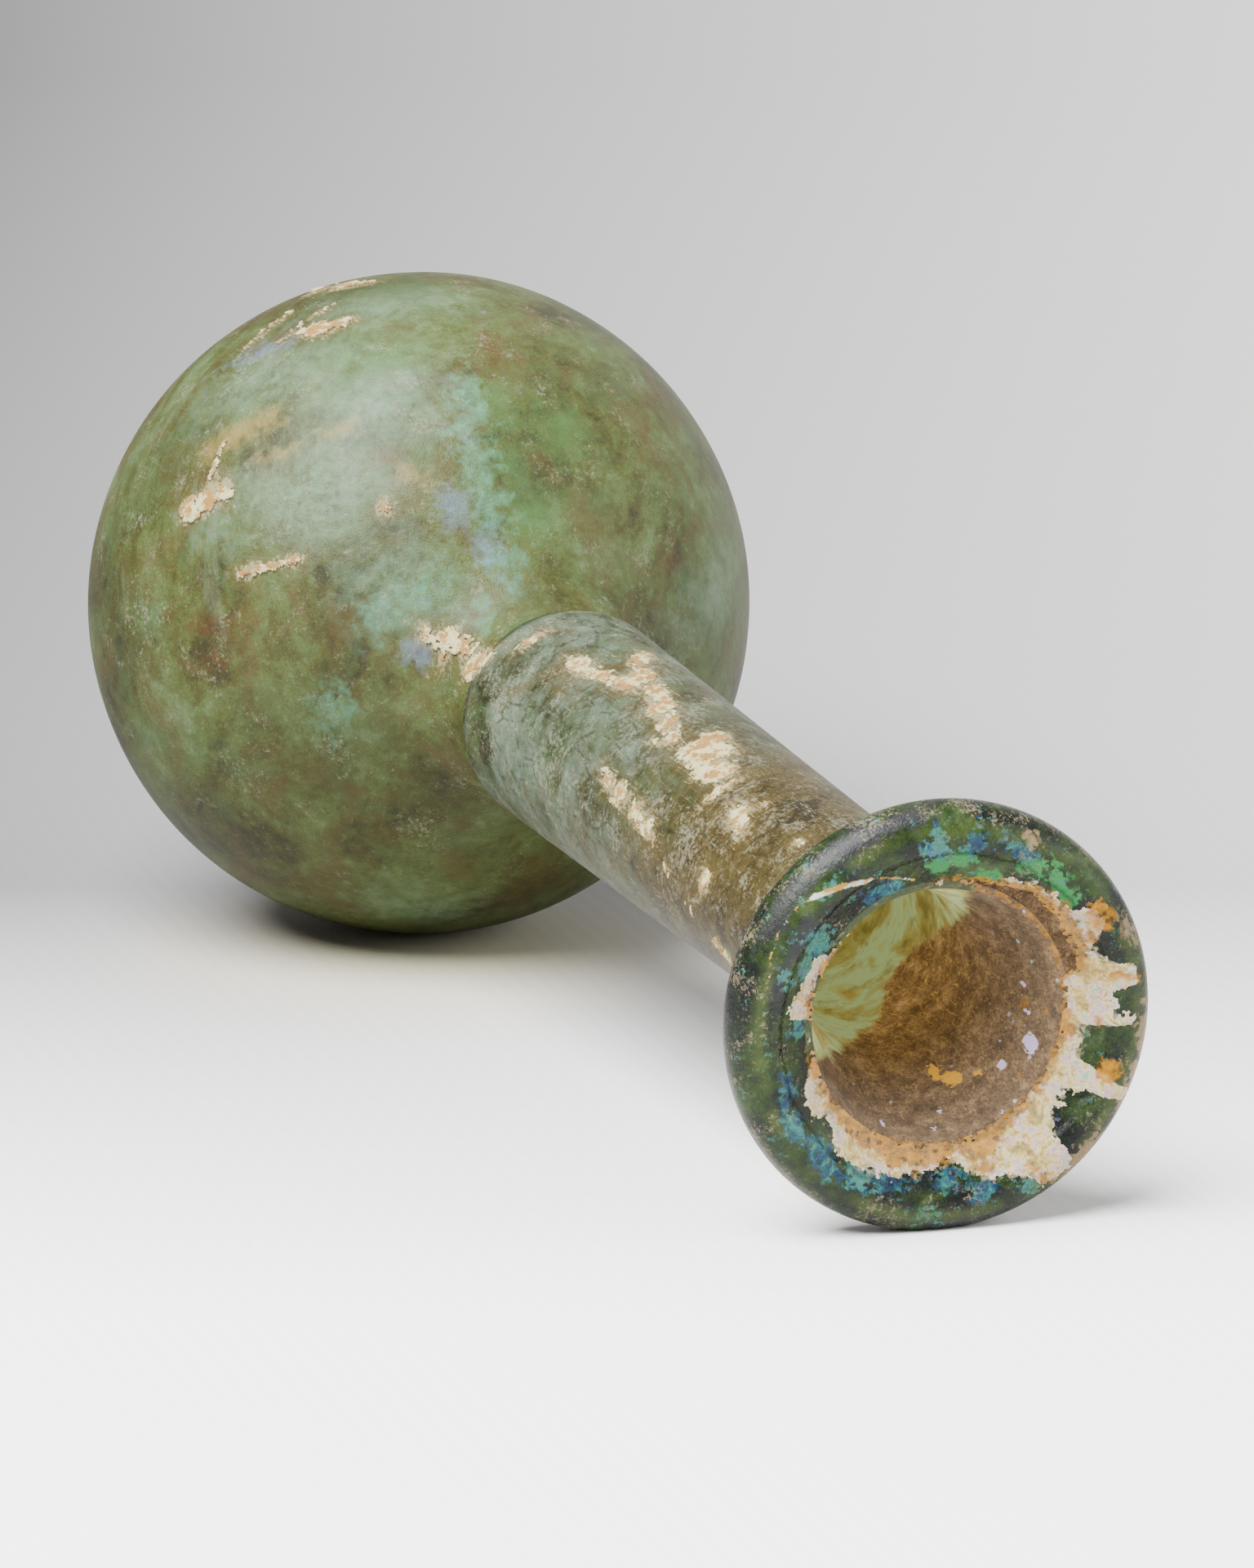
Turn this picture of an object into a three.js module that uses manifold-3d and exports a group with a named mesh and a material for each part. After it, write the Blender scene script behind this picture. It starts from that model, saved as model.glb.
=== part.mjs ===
// A free-blown glass flask: a round body, a long neck that narrows slightly, and a thick folded
// rim around a funnel mouth. It is one piece of glass, hollow and open at the mouth, and it lies
// on its side, touching the surface under it with the body and with the edge of the rim.
// Sizes are in millimetres. In the flask's own frame +Y runs from the base to the mouth, with
// the centre of the round body at the origin, and +Z faces the surface that it lies on.
import * as THREE from 'three';
import { mergeVertices } from 'three/addons/utils/BufferGeometryUtils.js';
import Module from 'manifold-3d';

// Body
const bodyRadius = 39.8;          // across the flask, at the middle of the body
const bodyHalfHeight = 38.7;      // along the flask, centre to where the round would close
const bodyWall = 2.0;
const shoulderRadius = 22;        // where the round body turns up into the shoulder
const shoulderPull = 8;           // how far the shoulder's curve keeps the body's slope
const shoulderRise = 7;           // how far it keeps the neck's direction

// Base, on the hidden end
const baseRadius = 13;            // outside of the flat ring
const baseRingWidth = 5.5;
const baseWall = 2.6;
const pushUp = 1.6;               // how far the middle of the base is pushed in
const pushUpEdge = 0.8;           // how far out its curve stays level, as a share of its radius

// Neck
const pinchStation = 44.8;        // the tooled crease at the foot of the neck
const pinchDepth = 0.8;           // how far the crease lies inside the neck's line
const pinchLength = 3.6;          // from the crease to the full neck
const neckFootRadius = 12.75;
const neckTopRadius = 11.1;
const neckWall = 1.8;

// Rim and mouth
const rimStation = 150.8;         // the widest ring of the rim, from the body's centre
const rimRadius = 23;
const lipRadius = 3.2;            // the rounded, folded edge
const grooveRadius = 17.8;        // the seam where the fold ends, on the front of the rim
const grooveStation = 2.35;       // its height in front of the widest ring
const mouthRadius = 13.6;
const mouthStation = 0.2;         // the mouth's edge, in front of the widest ring
const mouthRounding = 0.8;
const funnelLength = 16;          // from the mouth's edge down to the neck's bore
const flareLength = 22;           // from the widest ring back to where the neck is straight
const flareSpread = 3.0;          // how far the flare bellies out before the lip

// Handmade irregularity of the rim
const rimLeanSide = 4.8;          // degrees, towards -X
const rimLeanUp = 3.4;            // degrees, away from the surface
const rimShiftSide = -0.85;       // the rim's centre, off the neck's centre line, along X
const rimShiftDown = 1.07;        // and towards the surface
const workedLength = 26;          // the stretch behind the rim over which both come in

// Small worn flats under the body and the rim, so that the flask doesn't roll
const restFlatDepth = 0.3;

// Faceting
const sidesAround = 48;

const wasm = await Module();
wasm.setup();

const point = (radius, station) => new THREE.Vector2(radius, station);

// A stretch of the profile as points, without its last one, which the next stretch begins with.
function stretch(curve, steps) {
  return curve.getPoints(steps).slice(0, -1);
}

function straight(from, to, steps) {
  return stretch(new THREE.LineCurve(from, to), steps);
}

function bend(from, leave, arrive, to, steps) {
  return stretch(new THREE.CubicBezierCurve(from, leave, arrive, to), steps);
}

// The round of the body, an ellipse about the body's centre, between two heights in degrees.
function round(radius, halfHeight, fromHeight, toHeight, steps) {
  const points = [];
  for (let i = 0; i < steps; i += 1) {
    const height = THREE.MathUtils.degToRad(fromHeight + (toHeight - fromHeight) * i / steps);
    points.push(point(radius * Math.cos(height), halfHeight * Math.sin(height)));
  }
  return points;
}

const degreesAt = (ratio) => THREE.MathUtils.radToDeg(Math.acos(ratio));
const stationAt = (radius, halfHeight, ratio) => halfHeight * Math.sqrt(1 - ratio * ratio);

// Outside, from the middle of the base to the widest ring of the lip.
function outside() {
  const baseStation = -stationAt(bodyRadius, bodyHalfHeight, baseRadius / bodyRadius);
  const ringInside = baseRadius - baseRingWidth;
  const middle = point(0, baseStation + pushUp);
  const ringIn = point(ringInside, baseStation);
  const ringOut = point(baseRadius, baseStation);

  const shoulderHeight = degreesAt(shoulderRadius / bodyRadius);
  const baseHeight = -degreesAt(baseRadius / bodyRadius);
  const shoulder = point(shoulderRadius,
    stationAt(bodyRadius, bodyHalfHeight, shoulderRadius / bodyRadius));
  const slope = point(-bodyRadius * Math.sin(THREE.MathUtils.degToRad(shoulderHeight)),
    bodyHalfHeight * Math.cos(THREE.MathUtils.degToRad(shoulderHeight))).normalize();
  const pinch = point(neckFootRadius - pinchDepth, pinchStation);
  const foot = point(neckFootRadius, pinchStation + pinchLength);

  const neckTop = point(neckTopRadius, rimStation - flareLength);
  const lipUnder = point(rimRadius - lipRadius, rimStation - lipRadius);
  return [
    ...bend(middle, point(ringInside / 2, middle.y),
      point(ringInside * pushUpEdge, baseStation), ringIn, 3),
    ...straight(ringIn, ringOut, 1),
    ...round(bodyRadius, bodyHalfHeight, baseHeight, shoulderHeight, 17),
    ...bend(shoulder, shoulder.clone().addScaledVector(slope, shoulderPull),
      point(pinch.x, pinch.y - shoulderRise), pinch, 5),
    ...bend(pinch, point(pinch.x, pinch.y + pinchLength / 4),
      point(foot.x, foot.y - pinchLength / 2), foot, 3),
    ...straight(foot, neckTop, 5),
    ...bend(neckTop, point(neckTop.x, rimStation - flareLength / 2),
      point(neckTop.x + flareSpread, lipUnder.y - flareSpread / 3), lipUnder, 5),
  ];
}

// The lip's roll, from its underside around the outer edge to the seam on the front.
function lip() {
  const centre = point(rimRadius - lipRadius, rimStation);
  const seam = point(grooveRadius, rimStation + grooveStation);
  const seamAngle = Math.atan2(seam.y - centre.y, seam.x - centre.x);
  const steps = 9;
  const points = [];
  for (let i = 0; i < steps; i += 1) {
    const angle = -Math.PI / 2 + (seamAngle + Math.PI / 2) * i / steps;
    points.push(point(centre.x + lipRadius * Math.cos(angle),
      centre.y + lipRadius * Math.sin(angle)));
  }
  return points;
}

// Inside, from the seam over the mouth's edge and down to the middle of the base.
function inside() {
  const seam = point(grooveRadius, rimStation + grooveStation);
  const edge = point(mouthRadius + mouthRounding, rimStation + mouthStation);
  const turned = point(mouthRadius - mouthRounding / 2, edge.y - mouthRounding * 1.5);
  const boreTop = point(neckTopRadius - neckWall, rimStation - funnelLength);

  const bore = neckFootRadius - neckWall;
  const boreFoot = point(bore, pinchStation + pinchLength);
  const pinch = point(bore - pinchDepth, pinchStation);

  const radius = bodyRadius - bodyWall;
  const halfHeight = bodyHalfHeight - bodyWall;
  const shoulderInside = shoulderRadius - bodyWall / 2;
  const shoulder = point(shoulderInside,
    stationAt(radius, halfHeight, shoulderInside / radius));
  const shoulderHeight = degreesAt(shoulderInside / radius);
  const slope = point(-radius * Math.sin(THREE.MathUtils.degToRad(shoulderHeight)),
    halfHeight * Math.cos(THREE.MathUtils.degToRad(shoulderHeight))).normalize();

  const floor = -stationAt(bodyRadius, bodyHalfHeight, baseRadius / bodyRadius) + baseWall;
  const floorHeight = THREE.MathUtils.radToDeg(Math.asin(floor / halfHeight));
  const floorRadius = radius * Math.cos(THREE.MathUtils.degToRad(floorHeight));
  const domeRadius = baseRadius - baseRingWidth;
  const middle = point(0, floor + pushUp);
  return [
    ...straight(seam, edge, 2),
    ...bend(edge, point(mouthRadius, edge.y), point(mouthRadius, edge.y - mouthRounding / 2),
      turned, 3),
    ...bend(turned, point(turned.x - mouthRounding, turned.y - funnelLength / 4),
      point(boreTop.x, boreTop.y + funnelLength / 3), boreTop, 5),
    ...straight(boreTop, boreFoot, 5),
    ...bend(boreFoot, point(bore, boreFoot.y - pinchLength / 2),
      point(pinch.x, pinch.y + pinchLength / 4), pinch, 2),
    ...bend(pinch, point(pinch.x, pinch.y - shoulderRise),
      shoulder.clone().addScaledVector(slope, shoulderPull), shoulder, 5),
    ...round(radius, halfHeight, shoulderHeight, floorHeight, 13),
    ...straight(point(floorRadius, floor), point(domeRadius, floor), 1),
    ...bend(point(domeRadius, floor), point(domeRadius * pushUpEdge, floor),
      point(domeRadius / 2, middle.y), middle, 3),
    middle,
  ];
}

// The rim leans and sits off the neck's centre line: stations slide in proportion to the
// distance from the centre line and the rings shift sideways, both coming in smoothly.
function workRim(geometry) {
  const places = geometry.attributes.position;
  const leanSide = Math.tan(THREE.MathUtils.degToRad(rimLeanSide));
  const leanUp = Math.tan(THREE.MathUtils.degToRad(rimLeanUp));
  for (let i = 0; i < places.count; i += 1) {
    const x = places.getX(i);
    const y = places.getY(i);
    const z = places.getZ(i);
    const share = THREE.MathUtils.smoothstep(y, rimStation - workedLength,
      rimStation - lipRadius);
    places.setXYZ(i, x + share * rimShiftSide, y + share * (leanSide * x + leanUp * z),
      z + share * rimShiftDown);
  }
}

// A closed solid from a geometry: shared corners are merged and empty triangles left out.
function solid(geometry) {
  const bare = geometry.clone();
  bare.deleteAttribute('normal');
  bare.deleteAttribute('uv');
  const merged = mergeVertices(bare, 1e-4);
  const index = merged.index.array;
  const triangles = [];
  for (let i = 0; i < index.length; i += 3) {
    const [a, b, c] = index.slice(i, i + 3);
    if (a !== b && b !== c && c !== a) triangles.push(a, b, c);
  }
  return new wasm.Manifold(new wasm.Mesh({
    numProp: 3,
    vertProperties: new Float32Array(merged.attributes.position.array),
    triVerts: new Uint32Array(triangles),
  }));
}

function geometryOf(body) {
  const mesh = body.getMesh();
  const geometry = new THREE.BufferGeometry();
  geometry.setAttribute('position', new THREE.BufferAttribute(mesh.vertProperties, 3));
  geometry.setIndex(new THREE.BufferAttribute(mesh.triVerts, 1));
  geometry.computeVertexNormals();
  return geometry;
}

// The slope of the flask as it lies, from the line that touches the body and the lip's roll.
const reach = rimStation
  + Math.tan(THREE.MathUtils.degToRad(rimLeanUp)) * (rimRadius - lipRadius);
const drop = rimRadius - lipRadius + rimShiftDown;
const lyingSlope = Math.asin((bodyRadius - lipRadius) / Math.hypot(reach, drop))
  - Math.atan2(drop, reach);

const glass = new THREE.MeshStandardMaterial({
  name: 'weathered green glass',
  color: 0x7d8c62,
  roughness: 0.45,
  metalness: 0,
});

// The flask in its own frame, then turned to lie with its mouth towards -Y.
const lying = new THREE.Group();
lying.rotation.x = Math.PI + lyingSlope;
lying.position.z = bodyRadius - restFlatDepth;
lying.updateMatrixWorld(true);

const blown = new THREE.LatheGeometry([...outside(), ...lip(), ...inside()], sidesAround);
workRim(blown);
const surfaceBlock = new THREE.BoxGeometry(4 * bodyRadius, 3 * rimStation, bodyRadius);
surfaceBlock.translate(0, 0, -bodyRadius / 2);
surfaceBlock.applyMatrix4(lying.matrixWorld.clone().invert());
const flask = new THREE.Mesh(geometryOf(solid(blown).subtract(solid(surfaceBlock))), glass);
flask.name = 'flask';
lying.add(flask);

// The origin is on the resting surface, under the middle of the flask.
const object = new THREE.Group();
object.add(lying);
object.updateMatrixWorld(true);
const boxCentre = new THREE.Box3().setFromObject(object, true).getCenter(new THREE.Vector3());
lying.position.x -= boxCentre.x;
lying.position.y -= boxCentre.y;
object.updateMatrixWorld(true);

export default object;
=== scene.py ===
import bpy
import numpy as np
from mathutils import Matrix, Vector


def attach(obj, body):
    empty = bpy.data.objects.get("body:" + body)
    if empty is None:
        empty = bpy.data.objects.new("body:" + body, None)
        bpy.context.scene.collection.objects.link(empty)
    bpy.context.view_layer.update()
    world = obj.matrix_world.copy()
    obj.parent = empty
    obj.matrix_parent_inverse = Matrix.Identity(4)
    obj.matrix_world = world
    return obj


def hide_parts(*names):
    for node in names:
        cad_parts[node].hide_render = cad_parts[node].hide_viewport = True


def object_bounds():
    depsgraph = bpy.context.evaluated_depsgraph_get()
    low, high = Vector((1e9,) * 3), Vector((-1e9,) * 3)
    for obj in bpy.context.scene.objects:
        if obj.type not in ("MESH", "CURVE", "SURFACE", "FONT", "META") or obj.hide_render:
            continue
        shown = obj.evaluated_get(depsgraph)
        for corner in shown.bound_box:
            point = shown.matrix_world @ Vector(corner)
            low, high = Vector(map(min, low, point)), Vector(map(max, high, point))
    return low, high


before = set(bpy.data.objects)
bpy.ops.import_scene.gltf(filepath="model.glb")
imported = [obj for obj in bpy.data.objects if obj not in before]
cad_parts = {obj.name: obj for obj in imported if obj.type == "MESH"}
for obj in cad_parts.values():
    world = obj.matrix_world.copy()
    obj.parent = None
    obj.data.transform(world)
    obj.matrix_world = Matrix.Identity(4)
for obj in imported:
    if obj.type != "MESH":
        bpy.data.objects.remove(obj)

CAD_BOX = [list(corner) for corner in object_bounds()]
MM = 0.001

# The flask's own sizes, in millimetres, as in the solid.
BODY_RADIUS, BODY_HALF_HEIGHT, BODY_WALL = 39.72, 38.66, 2.0
SHOULDER_RADIUS, SHOULDER_PULL, SHOULDER_RISE = 22.0, 8.0, 7.0
BASE_RADIUS, BASE_RING, BASE_WALL, PUSH_UP, PUSH_UP_EDGE = 13.0, 5.5, 2.6, 1.6, 0.8
PINCH_STATION, PINCH_DEPTH, PINCH_LENGTH = 44.8, 0.8, 3.6
NECK_FOOT, NECK_TOP, NECK_WALL = 12.75, 11.1, 1.8
RIM_STATION, RIM_RADIUS, LIP_RADIUS = 150.8, 22.98, 3.2
SEAM_RADIUS, SEAM_STATION = 17.8, 2.35
MOUTH_RADIUS, MOUTH_STATION, MOUTH_ROUNDING = 13.6, 0.2, 0.8
FUNNEL, FLARE, FLARE_SPREAD = 16.0, 22.0, 3.0
LEAN_SIDE, LEAN_UP, SHIFT_SIDE, SHIFT_DOWN, WORKED = 4.8, 3.4, -0.85, 1.07, 26.0
LYING_SLOPE = np.radians(5.984)
BODY_CENTRE = np.array([0.0, 58.6024, 39.5])
COLUMNS = 280
OUT = -50.0  # a field where nothing of it is near, in millimetres
LINED = 60.0  # the lining's weathering starts at this station
RIM_DEPTH = 6.0  # and the rim's this far below its own
SLANT = (0.88, 0.47)  # cosine and sine of the slant of the body's streaks


# ---------------------------------------------------------------- shape

def bend(start, leave, arrive, end, steps):
    """Cubic curve: the four points weighted by (1-t)^3, 3(1-t)^2 t, 3(1-t) t^2 and t^3,
    for t from 0 up to but not with 1."""
    t = np.arange(steps)[:, None] / steps
    start, leave, arrive, end = (np.array(p, float) for p in (start, leave, arrive, end))
    return ((1 - t) ** 3 * start + 3 * (1 - t) ** 2 * t * leave
            + 3 * (1 - t) * t ** 2 * arrive + t ** 3 * end)


def straight(start, end, steps):
    """Start plus t times the way to the end, for t from 0 up to but not with 1."""
    t = np.arange(steps)[:, None] / steps
    return np.array(start, float) + t * (np.array(end, float) - np.array(start, float))


def ellipse(radius, half, low, high, steps):
    """Radius times the cosine and half height times the sine of a height in degrees."""
    height = np.radians(low + (high - low) * np.arange(steps) / steps)
    return np.stack([radius * np.cos(height), half * np.sin(height)], 1)


def narrowed(radius, half, across):
    """Where an ellipse narrows to a radius: its height there in degrees, the arc cosine of the
    share; the point; and the way on, the derivative made one long."""
    height = np.degrees(np.arccos(across / radius))
    turn = np.radians(height)
    way = np.array([-radius * np.sin(turn), half * np.cos(turn)])
    return height, np.array([across, half * np.sin(turn)]), way / np.linalg.norm(way)


def profile():
    """The closed wall's profile (radius, station) from the middle of the base over the outside,
    the lip and the mouth down to the middle of the floor, with a region number for each point."""
    base = -BODY_HALF_HEIGHT * np.sqrt(1 - (BASE_RADIUS / BODY_RADIUS) ** 2)
    ring = BASE_RADIUS - BASE_RING
    shoulder_height, shoulder, slope = narrowed(BODY_RADIUS, BODY_HALF_HEIGHT, SHOULDER_RADIUS)
    base_height = -np.degrees(np.arccos(BASE_RADIUS / BODY_RADIUS))
    pinch = (NECK_FOOT - PINCH_DEPTH, PINCH_STATION)
    foot = (NECK_FOOT, PINCH_STATION + PINCH_LENGTH)
    neck_top = (NECK_TOP, RIM_STATION - FLARE)
    under = (RIM_RADIUS - LIP_RADIUS, RIM_STATION - LIP_RADIUS)
    seam = (SEAM_RADIUS, RIM_STATION + SEAM_STATION)
    seam_angle = np.arctan2(seam[1] - RIM_STATION, seam[0] - under[0])
    roll = np.linspace(-np.pi / 2, seam_angle, 36, endpoint=False)
    edge = (MOUTH_RADIUS + MOUTH_ROUNDING, RIM_STATION + MOUTH_STATION)
    turned = (MOUTH_RADIUS - MOUTH_ROUNDING / 2, edge[1] - MOUTH_ROUNDING * 1.5)
    bore_top = (NECK_TOP - NECK_WALL, RIM_STATION - FUNNEL)
    bore = NECK_FOOT - NECK_WALL
    bore_foot = (bore, PINCH_STATION + PINCH_LENGTH)
    bore_pinch = (bore - PINCH_DEPTH, PINCH_STATION)
    radius, half = BODY_RADIUS - BODY_WALL, BODY_HALF_HEIGHT - BODY_WALL
    inner_height, inner_shoulder, inner_slope = narrowed(radius, half,
                                                         SHOULDER_RADIUS - BODY_WALL / 2)
    floor = base + BASE_WALL
    floor_height = np.degrees(np.arcsin(floor / half))
    floor_radius = radius * np.cos(np.radians(floor_height))
    parts = [
        (0, bend((0, base + PUSH_UP), (ring / 2, base + PUSH_UP),
                 (ring * PUSH_UP_EDGE, base), (ring, base), 9)),
        (0, straight((ring, base), (BASE_RADIUS, base), 4)),
        (0, ellipse(BODY_RADIUS, BODY_HALF_HEIGHT, base_height, shoulder_height, 84)),
        (0, bend(shoulder, shoulder + SHOULDER_PULL * slope,
                 (pinch[0], pinch[1] - SHOULDER_RISE), pinch, 22)),
        (1, bend(pinch, (pinch[0], pinch[1] + PINCH_LENGTH / 4),
                 (foot[0], foot[1] - PINCH_LENGTH / 2), foot, 14)),
        (1, straight(foot, neck_top, 56)),
        (1, bend(neck_top, (NECK_TOP, RIM_STATION - FLARE / 2),
                 (NECK_TOP + FLARE_SPREAD, under[1] - FLARE_SPREAD / 3), under, 26)),
        (2, np.stack([under[0] + LIP_RADIUS * np.cos(roll),
                      RIM_STATION + LIP_RADIUS * np.sin(roll)], 1)),
        (2, straight(seam, edge, 14)),
        (3, bend(edge, (MOUTH_RADIUS, edge[1]), (MOUTH_RADIUS, edge[1] - MOUTH_ROUNDING / 2),
                 turned, 8)),
        (3, bend(turned, (turned[0] - MOUTH_ROUNDING, turned[1] - FUNNEL / 4),
                 (bore_top[0], bore_top[1] + FUNNEL / 3), bore_top, 20)),
        (3, straight(bore_top, bore_foot, 16)),
        (3, bend(bore_foot, (bore, bore_foot[1] - PINCH_LENGTH / 2),
                 (bore_pinch[0], bore_pinch[1] + PINCH_LENGTH / 4), bore_pinch, 5)),
        (3, bend(bore_pinch, (bore_pinch[0], bore_pinch[1] - SHOULDER_RISE),
                 inner_shoulder + SHOULDER_PULL * inner_slope, inner_shoulder, 6)),
        (3, ellipse(radius, half, inner_height, floor_height, 18)),
        (3, straight((floor_radius, floor), (ring, floor), 3)),
        (3, bend((ring, floor), (ring * PUSH_UP_EDGE, floor), (ring / 2, floor + PUSH_UP),
                 (0, floor + PUSH_UP), 6)),
        (3, np.array([[0, floor + PUSH_UP]])),
    ]
    points = np.concatenate([p for _, p in parts])
    region = np.concatenate([np.full(len(p), r) for r, p in parts])
    return points, region


PROFILE, REGION = profile()
OUTSIDE = PROFILE[(REGION < 2)][12:]
FRONT = PROFILE[(REGION == 2)][9:]
LINING = PROFILE[(REGION == 3) & (PROFILE[:, 1] > LINED)]


def smooth(value, low, high):
    """0 below low, 1 above high, and 3t^2 - 2t^3 between."""
    t = np.clip((value - low) / (high - low), 0, 1)
    return t * t * (3 - 2 * t)


def worked(points):
    """The handmade rim: along the last stretch of the neck the rings shift sideways and their
    stations slide in proportion to the distance from the centre line."""
    x, y, z = points[..., 0], points[..., 1], points[..., 2]
    share = smooth(y, RIM_STATION - WORKED, RIM_STATION - LIP_RADIUS)
    slide = np.tan(np.radians(LEAN_SIDE)) * x + np.tan(np.radians(LEAN_UP)) * z
    return np.stack([x + share * SHIFT_SIDE, y + share * slide, z + share * SHIFT_DOWN], -1)


def ringed(radius, station, angle):
    """A point of the flask in its own frame: radius times the sine and minus the cosine of the
    angle, which runs from the side away from the floor towards +X, then worked."""
    radius, station, angle = np.broadcast_arrays(radius, station, np.radians(angle))
    return worked(np.stack([radius * np.sin(angle), station, -radius * np.cos(angle)], -1))


def lying(points):
    """Own frame to the row's frame, in metres: turned over by the lying slope about X and moved
    to the body's centre, with nothing outside the solid's box."""
    x, y, z = points[..., 0], points[..., 1], points[..., 2]
    c, s = np.cos(LYING_SLOPE), np.sin(LYING_SLOPE)
    placed = np.stack([x, -y * c + z * s, -y * s - z * c], -1) + BODY_CENTRE
    return np.clip(placed * MM, CAD_BOX[0], CAD_BOX[1])


WAVER, NICK_DEPTH = 0.12, 0.5


def waver(angle, station):
    """Slow unevenness of blown glass: a few sine waves around and along, up to 0.12 mm."""
    a = np.radians(angle)
    return (0.05 * np.sin(3 * a + 0.045 * station) + 0.03 * np.sin(5 * a - 0.13 * station + 1)
            + 0.025 * np.sin(2 * a + 0.31 * station + 2) + 0.015 * np.sin(9 * a + 0.2 * station))


def on_outside(angle, station):
    """The place on the outside of body and neck at an angle and a station."""
    return ringed(np.interp(station, OUTSIDE[:, 1], OUTSIDE[:, 0]), station, angle)


def on_front(angle, radius):
    """The place on the front of the rim at an angle and a radius."""
    return ringed(radius, np.interp(radius, FRONT[::-1, 0], FRONT[::-1, 1]), angle)


def on_lining(angle, station):
    """The place on the inside of the mouth and neck at an angle and a station."""
    return ringed(np.interp(station, LINING[::-1, 1], LINING[::-1, 0]), station, angle)


def spots(points, places, put=on_outside):
    """Largest over the places of (1 - elliptical distance) times the smaller half width, in mm:
    positive inside a spot and negative outside. A place is angle, station or radius, half width
    around, half length along, and a turn in degrees if it has one."""
    field = np.full(points.shape[:-1], OUT)
    for angle, along, wide, tall, *turn in places:
        centre = put(angle, along)
        ahead = put(angle, along + 0.2) - put(angle, along - 0.2)
        side = put(angle + 0.3, along) - put(angle - 0.3, along)
        ahead, side = ahead / np.linalg.norm(ahead), side / np.linalg.norm(side)
        out = np.cross(side, ahead)
        away = points - centre
        u, v, w = away @ side, away @ ahead, away @ out
        turn = np.radians(turn[0] if turn else 0)
        c, s = np.cos(turn), np.sin(turn)
        reach = np.sqrt(((c * u + s * v) / wide) ** 2 + ((c * v - s * u) / tall) ** 2
                        + (w / max(wide, tall, 3)) ** 2)
        field = np.maximum(field, (1 - reach) * min(wide, tall))
    return field


def lines(points, runs, put=on_outside):
    """Half width minus the distance to the nearest stretch of each run, in mm. A run is its half
    width and its corners, each an angle and a station or radius."""
    field = np.full(points.shape[:-1], OUT)
    for half, corners in runs:
        marks = [put(a, s) for a, s in corners]
        for start, end in zip(marks, marks[1:]):
            way = end - start
            t = np.clip(((points - start) @ way) / (way @ way), 0, 1)
            gap = np.linalg.norm(points - start - t[..., None] * way, axis=-1)
            field = np.maximum(field, half - gap)
    return field


# ------------------------------------------------- places of the weathering, read off

# Cream crusts on the neck: angle, station, half width, half length, turn
NECK_CRUSTS = [
    (-60, 43.6, 2.2, 1.6, 35), (-53, 46.4, 1.6, 0.9, 30), (-32, 51.2, 1.5, 0.8, 10),
    (-26, 62.3, 1.2, 2.2), (-23, 67.5, 0.8, 2.6, -20), (-17, 72.0, 1.5, 2.6, -20),
    (-7, 71.5, 1.3, 3.0, 25), (2, 66.5, 1.0, 3.2, 30), (-10, 77.5, 1.3, 3.4, 10),
    (-16, 81.5, 1.6, 2.0, 20), (-21, 85.8, 1.0, 2.8, 25), (-26, 89.2, 0.9, 1.4, 10),
    (-33, 87.8, 0.8, 0.7), (-20, 96.0, 2.8, 3.6, -15), (-26, 101.0, 2.1, 2.8, -20),
    (-11, 93.5, 1.8, 1.8, 20), (-32, 105.2, 1.7, 0.6), (-39, 112.6, 1.3, 2.8, 25),
    (-43, 114.0, 1.1, 1.0), (-66, 86.0, 0.8, 2.4, 15), (-68, 89.0, 1.2, 1.8, 20),
    (-71, 94.5, 0.9, 3.6, 15), (-73, 97.5, 1.1, 1.4), (-113, 117.6, 0.8, 1.9, 20),
    (-97, 110.2, 0.5, 0.5), (-86, 103.7, 0.5, 0.6), (-29, 124.4, 0.7, 0.6),
    (-78, 113.2, 1.2, 1.0, 30), (-25, 113.4, 0.35, 0.4), (9, 65.0, 0.6, 1.4, 30),
    # and on the side that the photo hides
    (70, 60.0, 1.2, 2.0, 10), (84, 92.0, 0.9, 1.8, -15), (105, 80.0, 1.4, 1.1),
    (140, 68.0, 1.0, 2.4, 20), (150, 104.0, 1.2, 1.0), (172, 86.0, 0.9, 2.0, 10),
]
NECK_SCRATCHES = [
    (0.10, [(-5, 115), (-12, 121.5), (-16, 126)]), (0.07, [(-72, 114), (-66, 116.5)]),
    (0.06, [(-8, 108), (3, 115)]), (0.05, [(18, 96), (8, 104), (5, 109)])
]
NECK_CRACKS = [
    (0.09, [(-137, 103.7), (-112, 107.5), (-97, 109.8)]),
    (0.05, [(-27, 119), (-20, 121), (-18, 123)])
]

# The front of the rim: outer bound of the flaking film as angle, radius
FILM_BOUND = [
    (0, 14.2), (12, 14.6), (24, 15.7), (34, 17.1), (50, 17.3), (53, 19.2), (58, 19.8), (62, 18.8),
    (66, 17.6), (73, 18.4), (75, 20.9), (81, 20.9), (83, 18.0), (87, 18.3), (92, 20.1),
    (94, 19.4), (96, 15.9), (109, 16.2), (111, 19.0), (113, 21.6), (116, 21.6), (118, 17.6),
    (121, 16.3), (131, 16.4), (136, 17.4), (138, 21.2), (149, 21.3), (151, 19.6), (156, 18.4),
    (164, 18.0), (168, 17.2), (172, 15.9), (176, 15.5), (188, 16.3), (197, 17.1), (210, 17.6),
    (223, 17.4), (226, 15.9), (232, 15.2), (234, 16.6), (247, 16.5), (250, 14.8), (262, 14.0),
    (272, 13.8), (274, 16.9), (282, 16.8), (286, 15.9), (298, 15.5), (301, 14.1), (310, 13.5),
    (345, 13.2), (360, 14.2)
]
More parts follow.
